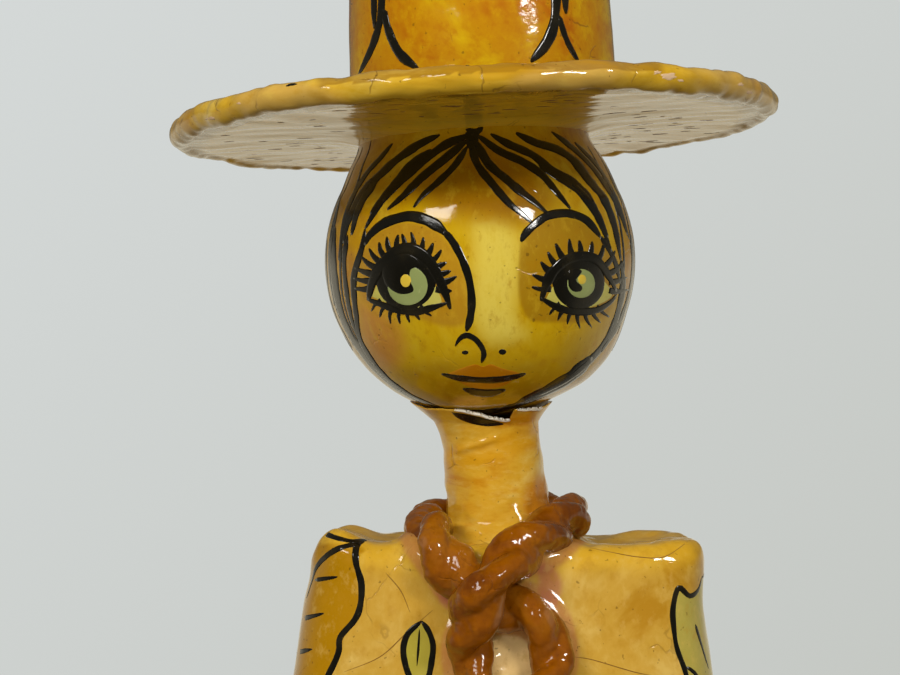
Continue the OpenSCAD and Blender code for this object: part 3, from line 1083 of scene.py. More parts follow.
LEFT_BROW = [
    (-37.2, 5.6), (-35.3, 9), (-31.2, 12.4), (-26.4, 14.2), (-22.3, 14.9), (-17.5, 13.8), (-13.5, 11.6),
    (-10, 8.4),
]
NOSE_LINE = [
    (-12, 10.4), (-9.6, 7.9), (-7.3, 4.4), (-4.9, -0.7), (-3.2, -6.2), (-2.5, -12.3), (-2.9, -17.8),
    (-4.2, -22.4),
]
NOSE_TIP = [(-7.8, -27.2), (-6.5, -25), (-4.3, -23.7), (-1.4, -24.9), (0.8, -27.6), (1.5, -30), (0.7, -32.6)]
RIGHT_BROW = [
    (13.5, 6.6), (14.8, 9.1), (17.9, 12.2), (21.6, 14.8), (26.1, 15.8), (30.1, 15.6), (34.2, 13.9),
    (37, 11.2), (39.4, 7.9),
]


def eye_parts(left):
    """One eye's shapes: closed outlines, lid lines, and rounds as (u, v, half width, half height)."""
    if left:
        return {
            "opening": [(-35.6, -11.3), (-33.4, -6.6), (-29, -1.6), (-21, 0.4), (-14.6, -6.4),
                        (-11.6, -13.6), (-17.5, -14.9), (-24.4, -15.2), (-31.2, -13.2)],
            "ball": (-23.7, -6.0, 10.2, 9.9),
            "iris": (-23.2, -7.6, 7.2, 7.0),
            "pupil": [(-30.2, -8.2), (-27.9, -10), (-25.4, -11), (-22.3, -10.7), (-20.8, -9.5),
                      (-21.9, -6.6), (-22.3, -4.2), (-21.6, -2), (-18.8, -0.6), (-20.3, 2), (-24.4, 3.4),
                      (-29.2, 1.4), (-31.9, -2.3), (-31.2, -6.4)],
            "glint": (-23.8, -6.0, 2.3, 2.9),
            "upper": [(-36, -12.2), (-34.6, -6.3), (-31.8, -1.2), (-27.6, 3), (-23.6, 4.5), (-19.6, 3.2),
                      (-15.5, -0.8), (-12.7, -6.2), (-10.7, -11), (-9.4, -15.2)],
            "lower": [(-36.3, -12), (-31.2, -13.9), (-25.7, -15.8), (-20.6, -16.1), (-15.5, -14.8),
                      (-10.4, -13.2)],
        }
    return {
        "opening": [(20.8, -12), (23.5, -7.4), (28, -2), (34, -1.4), (40.6, -5.6), (43.8, -10.8),
                    (39.2, -14), (33.4, -15.4), (26.4, -14.4)],
        "ball": (32.2, -6.9, 9.0, 8.9),
        "iris": (32.9, -6.9, 5.2, 5.4),
        "pupil": [(28.2, -5.4), (28.6, -8.4), (30.4, -10.2), (33.2, -10), (33.6, -8.2), (31.8, -7),
                  (31.6, -4.8), (33.6, -2.4), (31.2, -1.4), (28.6, -2.6)],
        "glint": (33.2, -5.6, 2.0, 2.4),
        "upper": [(20, -12.6), (22, -6.2), (24.7, -2.1), (28.8, 1), (33.5, 2), (37.6, 1), (40.4, -2.1),
                  (42.4, -5.5), (44.4, -9.4)],
        "lower": [(20, -11.6), (24, -14), (28.8, -15.8), (33.5, -16.1), (38.3, -15.4), (42.4, -13),
                  (44.4, -10.6)],
    }


# Each lash fan: the eye's middle, the first and last angle, how many, and the inner and outer radius.
LASHES = {
    "left_upper": ((-24.3, -6.5), 191, -13, 17, 10.4, 16.2),
    "left_lower": ((-24.3, -6.5), 219, 302, 7, 9.8, 14.6),
    "right_upper": ((32.6, -7.9), 185, -8, 13, 9.4, 15.8),
    "right_lower": ((32.6, -7.9), 222, 308, 7, 8.8, 14.4),
}

# The nostrils, as rounds.
NOSTRILS = [(-4.6, -29.3, 1.4, 0.9), (7.5, -29.1, 1.6, 1.2)]

MOUTH_LINE = [(-12.2, -36.2), (-7.3, -37.4), (-1.2, -38.1), (5.6, -38.1), (11.1, -37.2), (15, -36.1)]
UPPER_LIP = [
    (-11.4, -36.3), (-6, -34.2), (-1.6, -32.9), (1.2, -33.7), (3.8, -32.9), (8, -34.4), (14, -36.3),
    (6, -38), (-4, -37.9),
]
LOWER_LIP = [(-8.4, -37.6), (2, -38.3), (11.4, -37.5), (8.2, -40.2), (2, -41.3), (-4, -40.4)]
LOWER_LIP_LINE = [(-5.3, -40.9), (-1.2, -42.1), (2.9, -42.5), (6.3, -41.9), (8.4, -41.2)]
CHIN_LINE = [(-4.8, -48.3), (1.5, -48.6), (7, -47.8), (9.7, -46.9), (13, -45.8)]

LEFT_LID = [
    (-38.5, 3), (-34, 8.8), (-27, 12.6), (-20, 12.6), (-13, 9.4), (-8, 3), (-4.6, -5), (-3.6, -13),
    (-5, -20), (-12, -20.5), (-20, -18), (-30, -16), (-38, -12), (-39.5, -5),
]
RIGHT_LID = [
    (13.6, 7.5), (18, 12), (25, 14.2), (32, 13.6), (38, 9.5), (43, 1), (45, -9), (42, -17), (34, -19.5),
    (25, -19.5), (17, -19), (13.4, -14), (12.6, -4),
]
LEFT_CHEEK = [(-40, -12), (-34, -15), (-27, -20), (-25, -27), (-27, -34), (-33, -34), (-38, -26)]
RIGHT_CHEEK = [(44, -12), (37, -20), (30, -25), (28, -32), (33, -35), (40, -27), (45, -18)]
CHIN_SHADE = [(-24, -36), (-12, -33), (4, -35), (22, -33), (30, -36), (20, -44), (5, -49), (-10, -48)]
# The cream patch above the chin is a painted highlight.
CHIN_PAINTED_HIGHLIGHT = [(-7, -43.6), (-3, -43.2), (2, -44.2), (1, -46.2), (-4, -47), (-9, -46)]
BROW_SHADE = [(-3, 40), (-12, 30), (-22, 23), (-12, 17), (0, 14), (14, 13), (24, 20), (14, 31), (2, 40)]
# The pale column down the nose is a painted highlight.
NOSE_PAINTED_HIGHLIGHT = [(-1.5, 12), (5, 14), (12, 8), (13, -5), (11, -16), (14, -24), (4, -26), (-1, -18), (-1.5, -6)]
FACE = [
    (-4, 38), (-15, 26), (-24, 18), (-34, 10), (-40, -2), (-41, -14), (-36, -30), (-24, -42), (-9, -49),
    (10, -47), (26, -41), (38, -30), (45, -16), (46, 0), (38, 14), (24, 19), (10, 22), (0, 34),
]


# Each soft-edged tone of the face, with painted highlights and painted shade among them: its outline, and how
# wide the edge is.
FACE_TONES = {
    "left_lid": (LEFT_LID, 1.4),
    "right_lid": (RIGHT_LID, 1.0),
    "left_cheek": (LEFT_CHEEK, 5),
    "right_cheek": (RIGHT_CHEEK, 6),
    "brow_shade": (BROW_SHADE, 6),
    "chin_painted_highlight": (CHIN_PAINTED_HIGHLIGHT, 1.5),
    "chin_shade": (CHIN_SHADE, 6),
    "nose_painted_highlight": (NOSE_PAINTED_HIGHLIGHT, 5),
    "face": (FACE, 3),
}


def seen_at(points, centre):
    """Where the viewer sees each point, on the upright plane through centre."""
    k = (centre.y - EYE.y) / (points[:, 1] - EYE.y)
    u = EYE.x + (points[:, 0] - EYE.x) * k - centre.x
    v = EYE.z + (points[:, 2] - EYE.z) * k - centre.z
    return np.stack([u, v], axis=1)


def soft_mask(spots, outline, softness):
    """1 well inside a closed outline and 0 well outside, with an edge that is softness wide on each side."""
    shape = np.array(smooth([*outline, outline[0]], 3.0)[:-1])
    nearest = np.full(len(spots), 1e9)
    inside = np.zeros(len(spots), bool)
    for a, b in zip(shape, np.roll(shape, -1, axis=0)):
        side = b - a
        t = np.clip(((spots - a) @ side) / (side @ side), 0, 1)
        nearest = np.minimum(nearest, np.linalg.norm(spots - a - t[:, None] * side, axis=1))
        crosses = (a[1] > spots[:, 1]) != (b[1] > spots[:, 1])
        at = a[0] + (spots[:, 1] - a[1]) / (b[1] - a[1] + 1e-12) * side[0]
        inside ^= crosses & (spots[:, 0] < at)
    signed = np.where(inside, nearest, -nearest)
    return np.clip(0.5 + signed / (2 * softness), 0, 1)


def set_mask(obj, name, values):
    """A number from 0 to 1 at each point, for a material to read."""
    made = obj.data.attributes.new(name, "FLOAT", "POINT")
    made.data.foreach_set("value", np.asarray(values, np.float32))


def points_of(obj):
    co = np.empty(len(obj.data.vertices) * 3)
    obj.data.vertices.foreach_get("co", co)
    return co.reshape(-1, 3) / MM


def mask_face(head):
    """Where each soft-edged tone of the face lies."""
    points = points_of(head)
    spots = seen_at(points, HEAD)
    front = points[:, 1] < HEAD.y - 4
    for name, (outline, softness) in FACE_TONES.items():
        set_mask(head, name, np.where(front, soft_mask(spots, outline, softness), 0))


def paint_eye(fill, lines, left):
    """One eye, from the white up: each layer lies a little higher than the last."""
    eye = eye_parts(left)
    fill["eye_whites"].patch(eye["opening"], 0.04, 0.8)
    lines.dot(*eye["ball"], height=0.08)
    fill["iris_fills"].dot(*eye["iris"], height=0.12)
    lines.patch(eye["pupil"], 0.17, 0.6)
    fill["eye_glints"].dot(*eye["glint"], height=0.21)
    lines.line(eye["upper"], 3.6 if left else 3.2, height=0.15, start=0.2, end=0.3)
    lines.line(eye["lower"], 2.2, height=0.15, start=0.2, end=0.2)


def paint_lashes(lines, upper, middle, first, last, count, inner, outer):
    """A fan of lashes that curl away from the eye's middle."""
    squash = 0.97 if upper else 0.92
    for i, turn in enumerate(np.linspace(first, last, count)):
        wander = noise.noise(Vector((i * 1.7, middle[0], inner)))
        tip = outer * (1 + 0.09 * wander)
        bend = (5 if upper else -5) * (-1 if turn > 90 else 1) + 6 * wander
        spots = []
        for r, extra in ((inner, 0), ((inner + tip) / 2, 0.15 * bend), (tip, bend * 0.8)):
            a = math.radians(turn + extra)
            spots.append((middle[0] + r * math.cos(a), middle[1] + r * squash * math.sin(a)))
        lines.line(spots, 2.1 if upper else 1.4, start=0, end=0.7, step=0.6)


# The strands round the back of the head: how many, and the turn of the first and the sweep to the last.
BACK_STRANDS = 24
BACK_FIRST = 62
BACK_SWEEP = 236


def paint_back_hair(lines, round_head):
    for i in range(BACK_STRANDS):
        turn = BACK_FIRST + i * BACK_SWEEP / (BACK_STRANDS - 1)
        sway = 6 * noise.noise(Vector((i * 0.9, 3, 1)))
        deep = -34 + 14 * noise.noise(Vector((i * 1.3, 8, 2)))
        lock = [(turn, 43 + 2 * sway / 6), (turn + sway, 15)]
        lock += [(turn + 0.4 * sway, -8), (turn - 0.5 * sway, deep)]
        lines.line(lock, 1.7, start=0.15, end=0.4, step=2.5, place=round_head)


def paint_face(head, paints):
    tree = tree_of(head)
    front = seen_from_front(tree, HEAD)
    fills = ("eye_whites", "iris_fills", "eye_glints", "lip_fills")
    fill = {name: Paint(tree, front) for name in fills}
    lines = ("hair_lines", "brow_lines", "eye_lines", "lash_lines", "mouth_lines")
    black = {name: Paint(tree, front, seen=True) for name in lines}
    for width, points in HAIR:
        black["hair_lines"].line(points, HAIR_WEIGHT * width, start=0.12, end=0.35)
    for width, points in PARTING:
        black["hair_lines"].line(points, HAIR_WEIGHT * width, start=0.1, end=0.2)
    black["brow_lines"].line(LEFT_BROW, 3.4, start=0.3, end=0.15)
    black["brow_lines"].line(NOSE_LINE, 2.4, start=0.05, end=0.1)
    black["brow_lines"].line(NOSE_TIP, 1.8, start=0.3, end=0.2)
    black["brow_lines"].line(RIGHT_BROW, 2.8, start=0.12, end=0.2)
    for nostril in NOSTRILS:
        black["brow_lines"].dot(*nostril)
    for left in (True, False):
        paint_eye(fill, black["eye_lines"], left)
    for key, fan in LASHES.items():
        paint_lashes(black["lash_lines"], "upper" in key, *fan)
    black["mouth_lines"].line(MOUTH_LINE, 2.2, start=0.25, end=0.25)
    black["mouth_lines"].line(LOWER_LIP_LINE, 2.4, start=0.25, end=0.3)
    black["mouth_lines"].line(CHIN_LINE, 3.6, start=0.3, end=0.3)
    fill["lip_fills"].patch(UPPER_LIP, 0.05, 0.8)
    fill["lip_fills"].patch(LOWER_LIP, 0.04, 0.8)
    paint_back_hair(black["hair_lines"], about_head(tree))
    for name, paint in fill.items():
        paint.finish(name, paints[name], "skin_paper")
    for name, paint in black.items():
        paint.finish(name, paints["black"], "skin_paper")


# ---- Petals on the crown ----

# The two seams between petals that the viewer sees, as (width, points) on the face's plane.
FRONT_SEAMS = [
    (3.4, [(-31.4, 88), (-32.2, 78), (-34.8, 69.5), (-39.3, 60.2)]),
    (3.2, [(-31.2, 82), (-29.2, 74.4), (-25.7, 67.4), (-19.6, 62.4)]),
    (3.8, [(25, 88), (24.2, 77.3), (21.5, 70.6), (16.6, 64.8)]),
    (2.4, [(25.6, 80), (28.3, 71.8), (32.4, 64.2)]),
]
# Where the seams are round the crown, in degrees. The first two are those that the viewer sees.
SEAM_TURNS = (-51, 36, 125, -140)


def paint_crown(crown, paints):
    tree = tree_of(crown)
    place = about_hat(tree)
    front = seen_from_front(tree, HEAD)
    lines = Paint(tree, place)
    for width, points in FRONT_SEAMS:
        lines.line(points, width, height=0.16, start=0.04, end=0.25, step=1.4, place=front)
    for seam in SEAM_TURNS:
        low = [] if seam in SEAM_TURNS[:2] else [(76, 49)]
        for near, far in [(80, 106), *low]:
            for side in (-1, 1):
                knee = near + (far - near) * 0.4
                bend = [(seam + side * 0.6, near), (seam + side * 3, knee), (seam + side * 13, far)]
                lines.line(bend, 2.4, height=0.16, start=0.04, end=0.2, step=1.8)
        lines.line([(seam, 90), (seam + 0.4, 82), (seam, 72)], 3.2, height=0.17, start=0.3, end=0.3, step=1.6)
    lines.finish("petal_lines", paints["black"], "hat_paper")


# ---- Flowers and leaves on the dress ----

# The front's shapes are sideways and up on the upright plane through this point.
DRESS_MIDDLE = Vector((0, 0, 0))

LEFT_FLOWER = [
    (-43.5, 300.7), (-47.1, 299.1), (-47.6, 293.6), (-45.8, 286.4), (-46.2, 279.1), (-48.1, 274.5),
    (-52.6, 269.1), (-53.1, 264.6), (-54.9, 260), (-58, 254), (-62, 246), (-68, 240),
]
LEFT_FLOWER_TOP = [(-59, 303.2), (-54, 301.3), (-48.5, 300.2), (-43.5, 300.9)]
LEFT_FLOWER_EDGE = [
    (-45.8, 299.6), (-52.1, 298.2), (-56.7, 295.7), (-60.3, 291.8), (-61.8, 287.3), (-63.5, 281.8),
]
LEFT_VEINS = [
    [(-60.8, 287.6), (-53.5, 288.6)],
    [(-64.9, 275), (-58, 276.8)],
    [(-66.7, 264.1), (-61.7, 265.2)],
    [(-67.6, 252.6), (-63, 254.6)],
]
BUD = [
    (-26.3, 274.3), (-30.8, 270), (-32.2, 265), (-31.2, 259), (-28.8, 253.4), (-26.6, 249.6),
    (-24.5, 254.4), (-23.1, 260.9), (-22.6, 266.4), (-24, 271),
]
BUD_VEIN = [(-27, 271.6), (-27.3, 266), (-27.8, 259.8)]
RIGHT_LEAF = [
    (64.5, 288.6), (63.2, 284.3), (60.5, 282.4), (56.9, 285), (55.1, 278.2), (55.5, 270.9), (56.4, 265.5),
    (58.7, 259.1), (61, 252), (65, 245), (71, 240),
]
RIGHT_VEINS = [[(62.3, 273.2), (64.1, 267.3), (66.6, 259)], [(59.4, 259.5), (62, 257.6), (64.5, 254)]]

# How the flower and the leaf at the sides go on, out of the viewer's sight: round the dress and up.
FLOWER_REST = [
    (-86, 226), (-104, 228), (-120, 238), (-126, 254), (-124, 272), (-126, 288), (-112, 297), (-92, 298),
    (-76, 299),
]
LEAF_REST = [(84, 224), (100, 226), (114, 238), (120, 256), (112, 274), (98, 286), (84, 291)]
SIDE_VEINS = [
    [(-84, 294), (-88, 270), (-86, 244)],
    [(-104, 292), (-106, 270), (-100, 244)],
    [(-118, 286), (-116, 268), (-112, 248)],
    [(88, 284), (92, 262), (88, 236)],
    [(102, 274), (104, 258), (98, 238)],
]

# Where the cord's brown paint bled pink on the chest, as the viewer sees it.
PINK_STAIN = [(11, 293), (16, 292), (19, 286.5), (17.5, 280), (13, 277), (12, 284)]
PINK_STAIN_LEFT = [(-21, 289), (-16, 287), (-15, 281), (-18, 279), (-21.5, 283)]

# Out of the viewer's sight, flowers as (s, z, radius, petals, turn), and leaves as (base, tip, width).
FLOWERS = [
    (-36, 178, 30, 8, 10), (38, 142, 29, 7, 0), (-30, 96, 32, 8, 22), (40, 60, 31, 9, 5),
    (-104, 146, 30, 8, 12), (110, 158, 30, 8, 0), (-110, 62, 32, 9, 30), (118, 70, 31, 7, 8),
    (-168, 196, 30, 8, 3), (152, 246, 21, 7, 12), (-178, 106, 34, 9, 16), (180, 140, 31, 8, 5),
    (216, 50, 31, 8, 20), (-144, 254, 20, 7, 5), (-40, 36, 19, 7, 0),
]
LEAVES = [
    ((2, 150), (4, 196), 15), ((-70, 190), (-82, 226), 15), ((8, 108), (4, 62), 15),
    ((70, 98), (76, 134), 15), ((74, 176), (84, 216), 15), ((-66, 106), (-68, 140), 14),
    ((-66, 74), (-76, 40), 15), ((-2, 22), (-16, 58), 13), ((80, 36), (92, 22), 10),
    ((-134, 117), (-137, 88), 11), ((146, 92), (152, 124), 13), ((-142, 22), (-160, 50), 14),
    ((156, 28), (176, 44), 14), ((142, 192), (160, 214), 14), ((-196, 152), (-176, 160), 10),
    ((196, 186), (178, 222), 15), ((-200, 60), (-214, 28), 15), ((-130, 184), (-116, 214), 14),
    ((190, 92), (208, 96), 10), ((44, 106), (26, 102), 9),
]

# Long hairline cracks on the chest, as the viewer sees them.
CRACKS = [
    [(28.2, 298), (36, 296.4), (44.4, 295), (52.5, 295.2), (60.6, 300.5)],
    [(-22.6, 277.9), (-31, 270.6), (-39.8, 262.7), (-51.4, 257.8)],
    [(23, 262.7), (29.2, 261.7), (43.8, 257.5), (54, 256)],
    [(-38, 290), (-33, 284), (-30, 277)],
]


def point_about(middle, far, a):
    """The point that is far from middle in the direction a."""
    return (middle[0] + far * math.cos(a), middle[1] + far * math.sin(a))


def petal(fill, lines, place, middle, angle, radius, petals):
    """One petal: narrow at the flower's heart and rounded at its tip, and just short of its neighbours."""
    a = math.radians(angle)
    along, across = np.array((math.cos(a), math.sin(a))), np.array((-math.sin(a), math.cos(a)))
    share = math.sin(math.pi / petals)
    edge = []
    for t in np.linspace(0, 1, 10):
        far = radius * (0.2 + 0.8 * t)
        wide = min(far * share * 0.94, 0.95 * radius * math.sqrt(max(0.0, 1 - t**3)) * share)
        edge.append((far, wide if t < 1 else 0.0))
    side = [tuple(np.array(middle) + along * far + across * wide) for far, wide in edge]
    back = [tuple(np.array(middle) + along * far - across * wide) for far, wide in reversed(edge[:-1])]
    fill.patch(side + back, 0.05, 1.6, place=place)
    lines.line(side + back, 1.5, height=0.12, start=0, end=0, step=1.4, place=place)


def flower(fill, heart, lines, place, middle, radius, petals, turn):
    """A whole flower: petals with three veins each, about a round heart."""
    for i in range(petals):
        angle = turn + 360 * i / petals
        petal(fill, lines, place, middle, angle, radius, petals)
        for spread, far in ((0, 0.74), (-6, 0.6), (6, 0.6)):
            a = math.radians(angle + spread)
            vein = [point_about(middle, 0.36 * radius, a), point_about(middle, far * radius, a)]
            lines.line(vein, 0.9, end=0.7, step=1.4, place=place)
    disc = [point_about(middle, 0.24 * radius, t) for t in np.linspace(0, 2 * math.pi, 12, False)]
    heart.patch(disc, 0.1, 1.2, place=place)
    lines.line([*disc, disc[0]], 1.5, height=0.18, start=0, end=0, step=1.2, place=place)


def leaf(fill, lines, place, base, tip, width):
    """A pointed leaf with a rib and three pairs of veins."""
    base, tip = np.array(base, float), np.array(tip, float)
    along = tip - base
    across = np.array((-along[1], along[0])) / np.linalg.norm(along)

    def edge(t, side):
        return tuple(base + along * t + across * side * width * 0.5 * math.sin(math.pi * t**0.8))

    left = [edge(t, 1) for t in np.linspace(0, 1, 8)]
    right = [edge(t, -1) for t in np.linspace(1, 0, 8)]
    outline = left + right[1:-1]
    fill.patch(outline, 0.05, 1.6, place=place)
    lines.line(left, 1.6, start=0.1, end=0.1, step=1.5, place=place)
    lines.line(list(reversed(right)), 1.6, start=0.1, end=0.1, step=1.5, place=place)
    rib = [tuple(base + along * t) for t in (0.08, 0.4, 0.8)]
    lines.line(rib, 1.0, start=0.1, end=0.5, step=1.5, place=place)
    for t in (0.25, 0.5, 0.75):
        for side in (1, -1):
            end = base + along * (t + 0.14) + across * side * width * 0.26
            lines.line([tuple(base + along * t), tuple(end)], 0.8, end=0.6, step=1.5, place=place)


def paint_dress(dress, paints):
    tree = tree_of(dress)
    front = seen_from_front(tree, DRESS_MIDDLE)
    wrap = about_dress(tree)
    lines = Paint(tree, front)
    amber = Paint(tree, wrap)
    green = Paint(tree, wrap)
    heart = Paint(tree, wrap)
    lines.line(LEFT_FLOWER, 2.2, start=0.05, end=0.1)
    lines.line(LEFT_FLOWER_TOP, 1.8, start=0.1, end=0.1)
    lines.line(LEFT_FLOWER_EDGE, 2.0, start=0.1, end=0.4)
    for vein in LEFT_VEINS:
        lines.line(vein, 1.6, start=0.1, end=0.7)
    green.patch(BUD, 0.05, 1.0, place=front)
    lines.line([*BUD, BUD[0]], 2.0, start=0.05, end=0.05)
    lines.line(BUD_VEIN, 0.8, start=0.2, end=0.4)
    lines.line(RIGHT_LEAF, 1.9, start=0.1, end=0.1)
    for vein in RIGHT_VEINS:
        lines.line(vein, 1.3, start=0.1, end=0.5)
    flower_shape, leaf_shape = closed_shapes(front)
    flower_rest = flower_shape[len(LEFT_FLOWER) - 1 :]
    lines.line(flower_rest, 2.2, start=0, end=0.1, step=1.5, place=wrap)
    leaf_rest = [*leaf_shape[len(RIGHT_LEAF) - 1 :], leaf_shape[0]]
    lines.line(leaf_rest, 1.9, start=0, end=0.1, step=1.5, place=wrap)
    for vein in SIDE_VEINS:
        lines.line(vein, 1.3, start=0.1, end=0.6, step=1.5, place=wrap)
    for s, z, radius, petals, turn in FLOWERS:
        flower(amber, heart, lines, wrap, (s, z), radius, petals, turn)
    for base, tip, width in LEAVES:
        leaf(green, lines, wrap, base, tip, width)
    for z, width in ((9, 2.4), (15, 1.6)):
        length = dress_outline(z)[2]
        hem = [(length * t, z + 0.8 * math.sin(20 * t)) for t in np.linspace(0, 1, 60)]
        lines.line(hem, width, start=0, end=0, step=3, place=wrap)
    cracks = Paint(tree, front)
    for points in CRACKS:
        cracks.line(points, 0.34, height=0.05, start=0.3, end=0.5, step=1.0)
    cracks.finish("dress_cracks", paints["crack"], "dress_paper")
    lines.finish("dress_lines", paints["black"], "dress_paper")
    amber.finish("flower_fills", paints["amber"], "dress_paper")
    green.finish("leaf_fills", paints["green"], "dress_paper")
    heart.finish("flower_hearts", paints["heart"], "dress_paper")


def closed_shapes(front):
    """The side flower's and the side leaf's whole outlines, as places round the dress."""
    flower_edge = [round_dress(front(*p)[0]) for p in LEFT_FLOWER]
    leaf_edge = [round_dress(front(*p)[0]) for p in RIGHT_LEAF]
    return flower_edge + FLOWER_REST, leaf_edge + LEAF_REST


def mask_dress(dress):
    """Where the side flower and leaf, the shoulders' band and the cord's stains lie."""
    points = points_of(dress)
    front = points[:, 1] < 4
    spots = np.array([round_dress(p) for p in points])
    flower_shape, leaf_shape = closed_shapes(seen_from_front(tree_of(dress), DRESS_MIDDLE))
    set_mask(dress, "side_flower", soft_mask(spots, flower_shape, 0.8))
    set_mask(dress, "side_leaf", soft_mask(spots, leaf_shape, 0.8))
    set_mask(dress, "top_band", np.clip((points[:, 2] - 291) / 9, 0, 1))
    gap = np.array([CORD_FINDER.find(p)[2] if p[2] > CORD_FOOT else 99 for p in points])
    set_mask(dress, "cord_stain", np.clip((11.4 - gap) / 2.6, 0, 1))
    loop = np.array([loop_distance(p) for p in points])
    spots = seen_at(points, DRESS_MIDDLE)
    pink = np.maximum(soft_mask(spots, PINK_STAIN, 1.6), soft_mask(spots, PINK_STAIN_LEFT, 1.6))
    set_mask(dress, "pink_stain", np.where(front, pink, 0))
    set_mask(dress, "loop_cream", np.where(front, np.clip((9.5 - loop) / 2, 0, 1), 0))


# ---- Everything together ----


def inner_materials():
    """The bare materials of the pieces inside, by node."""
    card = plain_material("raw_card", rgb(150, 124, 88), 0.9, 900)
    wood, g = material("bare_wood")
    rings = g.node("ShaderNodeTexWave", Vector=g.place((1, 1, 0.08)), Scale=160.0, Distortion=4.0, Detail=3.0)
    tone = g.mix(rings.outputs["Fac"], rgb(176, 138, 88), rgb(140, 102, 58))
    finish_material(g, tone, rings.outputs["Fac"], (0.4, 0.2), 0.7)
    string, g = material("string")
    ply = g.node("ShaderNodeTexWave", Vector=g.place((1, 1, 1), (0.6, 0.4, 0)), Scale=420.0, Distortion=1.0)
    tone = g.mix(ply.outputs["Fac"], rgb(150, 130, 96), rgb(196, 178, 140))
    finish_material(g, tone, ply.outputs["Fac"], (0.8, 0.3), 0.9)
    plaster = plain_material("plaster", rgb(222, 218, 206), 0.85, 260)
    wire = plain_material("dull_wire", rgb(130, 130, 132), 0.4, 1200)
    return {
        "base_board": card,
        "ballast_plug": plaster,
        "centre_stick": wood,
        "shoulder_bar": wood,
        "bar_lashing": string,
        "dress_seam_strips": card,
        "head_seam_strip": card,
        "brim_wire": wire,
    }


def dress_node(node, made):
    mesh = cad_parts[node].data
    mesh.materials.clear()
    mesh.materials.append(made)


def make_lamps():
    softbox("key_left", -33, 24, 1.5, (0.5, 0.2), 3.6)
    softbox("key_left_soft", -36, 25, 1.5, (0.5, 0.2), 7.0, mirrored=False)
    softbox("key_right", 36, 24, 1.5, (0.28, 0.2), 7.6)
    softbox("top", 0, 68, 1.4, (1.0, 1.0), 9, mirrored=False)
    softbox("front_fill", -12, 30, 1.5, (1.4, 0.6), 5, mirrored=False)
    softbox("low_fill", 0, -15, 1.2, (1.2, 0.3), 3.4, mirrored=False)
    softbox("back_fill", 180, 22, 1.6, (1.6, 1.0), 11, mirrored=False)


def dress_material():
    tones = (rgb(174, 125, 26), rgb(192, 149, 54), rgb(208, 172, 88))
    masks = [
        ("top_band", rgb(206, 160, 34), 0.7),
        ("side_flower", rgb(166, 118, 2), 1.0),
        ("side_leaf", rgb(172, 156, 70), 1.0),
        ("cord_stain", rgb(178, 112, 66), 0.7),
        ("pink_stain", rgb(176, 98, 76), 0.65),
        ("loop_cream", rgb(226, 190, 126), 1.0),
    ]
    return painted("dress_paint", tones, masks, streak=(1, 1, 0.75), ripple=0.35, crackle=0.25)


def head_material():
    tones = (rgb(166, 112, 0), rgb(188, 140, 0), rgb(204, 168, 36))
    masks = [
        ("face", rgb(200, 162, 0), 0.7),
        # A painted highlight down the nose.
        ("nose_painted_highlight", rgb(222, 200, 84), 0.8),
        ("chin_shade", rgb(160, 118, 0), 0.7),
        ("left_lid", rgb(172, 124, 24), 0.85),
        ("right_lid", rgb(154, 112, 12), 0.85),
        ("left_cheek", rgb(190, 122, 50), 0.75),
        ("right_cheek", rgb(172, 140, 50), 0.6),
        ("brow_shade", rgb(144, 92, 0), 0.8),
        # A painted highlight above the chin.
        ("chin_painted_highlight", rgb(226, 176, 78), 0.8),
    ]
    return painted("head_paint", tones, masks, streak=(1.3, 1.3, 0.7), ripple=0.3, crackle=0.0)


def neck_material():
    tones = (rgb(188, 120, 0), rgb(206, 156, 40), rgb(216, 182, 92))
    masks = [("rust", rgb(180, 104, 0), 0.8), ("amber", rgb(204, 144, 6), 0.7)]
    return painted("neck_paint", tones, masks, streak=(0.7, 0.7, 1.8), ripple=0.7, crackle=0.3)


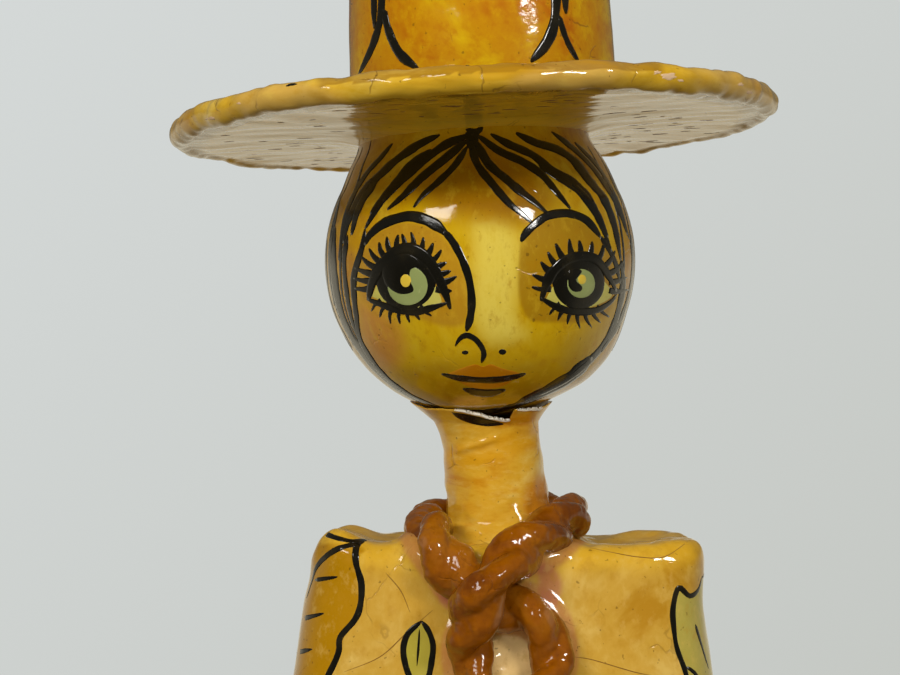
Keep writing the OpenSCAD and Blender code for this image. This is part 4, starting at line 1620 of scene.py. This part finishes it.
def brim_material():
    tones = (rgb(170, 122, 10), rgb(194, 152, 34), rgb(210, 176, 74))
    masks = [
        # The underside's brighter yellow is partly painted light.
        ("underside", rgb(244, 194, 50), 0.9),
        ("worn_rim", rgb(186, 148, 76), 0.75),
        ("crown_foot", rgb(120, 78, 10), 0.6),
    ]
    return painted("brim_paint", tones, masks, streak=(0.12, 1, 1), ripple=0.4)


def crown_material():
    tones = (rgb(162, 88, 0), rgb(178, 124, 0), rgb(196, 160, 4))
    return painted("crown_paint", tones, ripple=0.3)


def cord_material():
    tones = (rgb(100, 48, 0), rgb(132, 71, 0), rgb(148, 88, 12))
    # Rubbed paint, and a painted sheen on the cord.
    masks = [("wear_and_sheen", rgb(158, 108, 66), 0.5)]
    return painted("cord_paint", tones, masks, ripple=0.75, crackle=0.0, wear=0.3)


def brush_materials():
    """The paints that lines, fills and flecks are laid in."""
    return {
        "black": brush_paint("black_line", rgb(18, 16, 10), rgb(58, 50, 30)),
        "eye_whites": brush_paint("eye_white", rgb(190, 180, 84), rgb(206, 200, 120)),
        "iris_fills": brush_paint("iris_green", rgb(140, 150, 90), rgb(166, 172, 112)),
        "eye_glints": brush_paint("eye_glint", rgb(214, 182, 60), rgb(226, 204, 100)),
        "lip_fills": brush_paint("lip_orange", rgb(182, 114, 4), rgb(196, 138, 24)),
        "amber": brush_paint("petal_amber", rgb(176, 118, 6), rgb(204, 156, 30)),
        "green": brush_paint("leaf_green", rgb(166, 150, 52), rgb(190, 172, 78)),
        "crack": plain_material("crack_brown", rgb(130, 90, 20), 0.8, 900),
        "chip": plain_material("chipped_paper", rgb(206, 172, 132), 0.7, 900),
        "fleck": plain_material("fleck_brown", rgb(126, 88, 40), 0.85, 900),
        "torn": plain_material("torn_edge", rgb(238, 230, 212), 0.8, 900),
        "heart": brush_paint("heart_rust", rgb(140, 80, 10), rgb(170, 104, 30)),
    }


def main():
    bpy.context.scene.view_settings.view_transform = "Standard"
    make_camera()
    make_world()
    make_floor()
    make_lamps()
    paints = brush_materials()
    dress = make_dress(dress_material())
    mask_dress(dress)
    paint_dress(dress, paints)
    head = make_head(head_material())
    mask_face(head)
    paint_face(head, paints)
    paint_neck(make_neck(neck_material()), paints)
    paint_brim(make_brim(brim_material()), paints)
    paint_crown(make_crown(crown_material()), paints)
    make_cord(cord_material())
    for node, made in inner_materials().items():
        dress_node(node, made)


main()
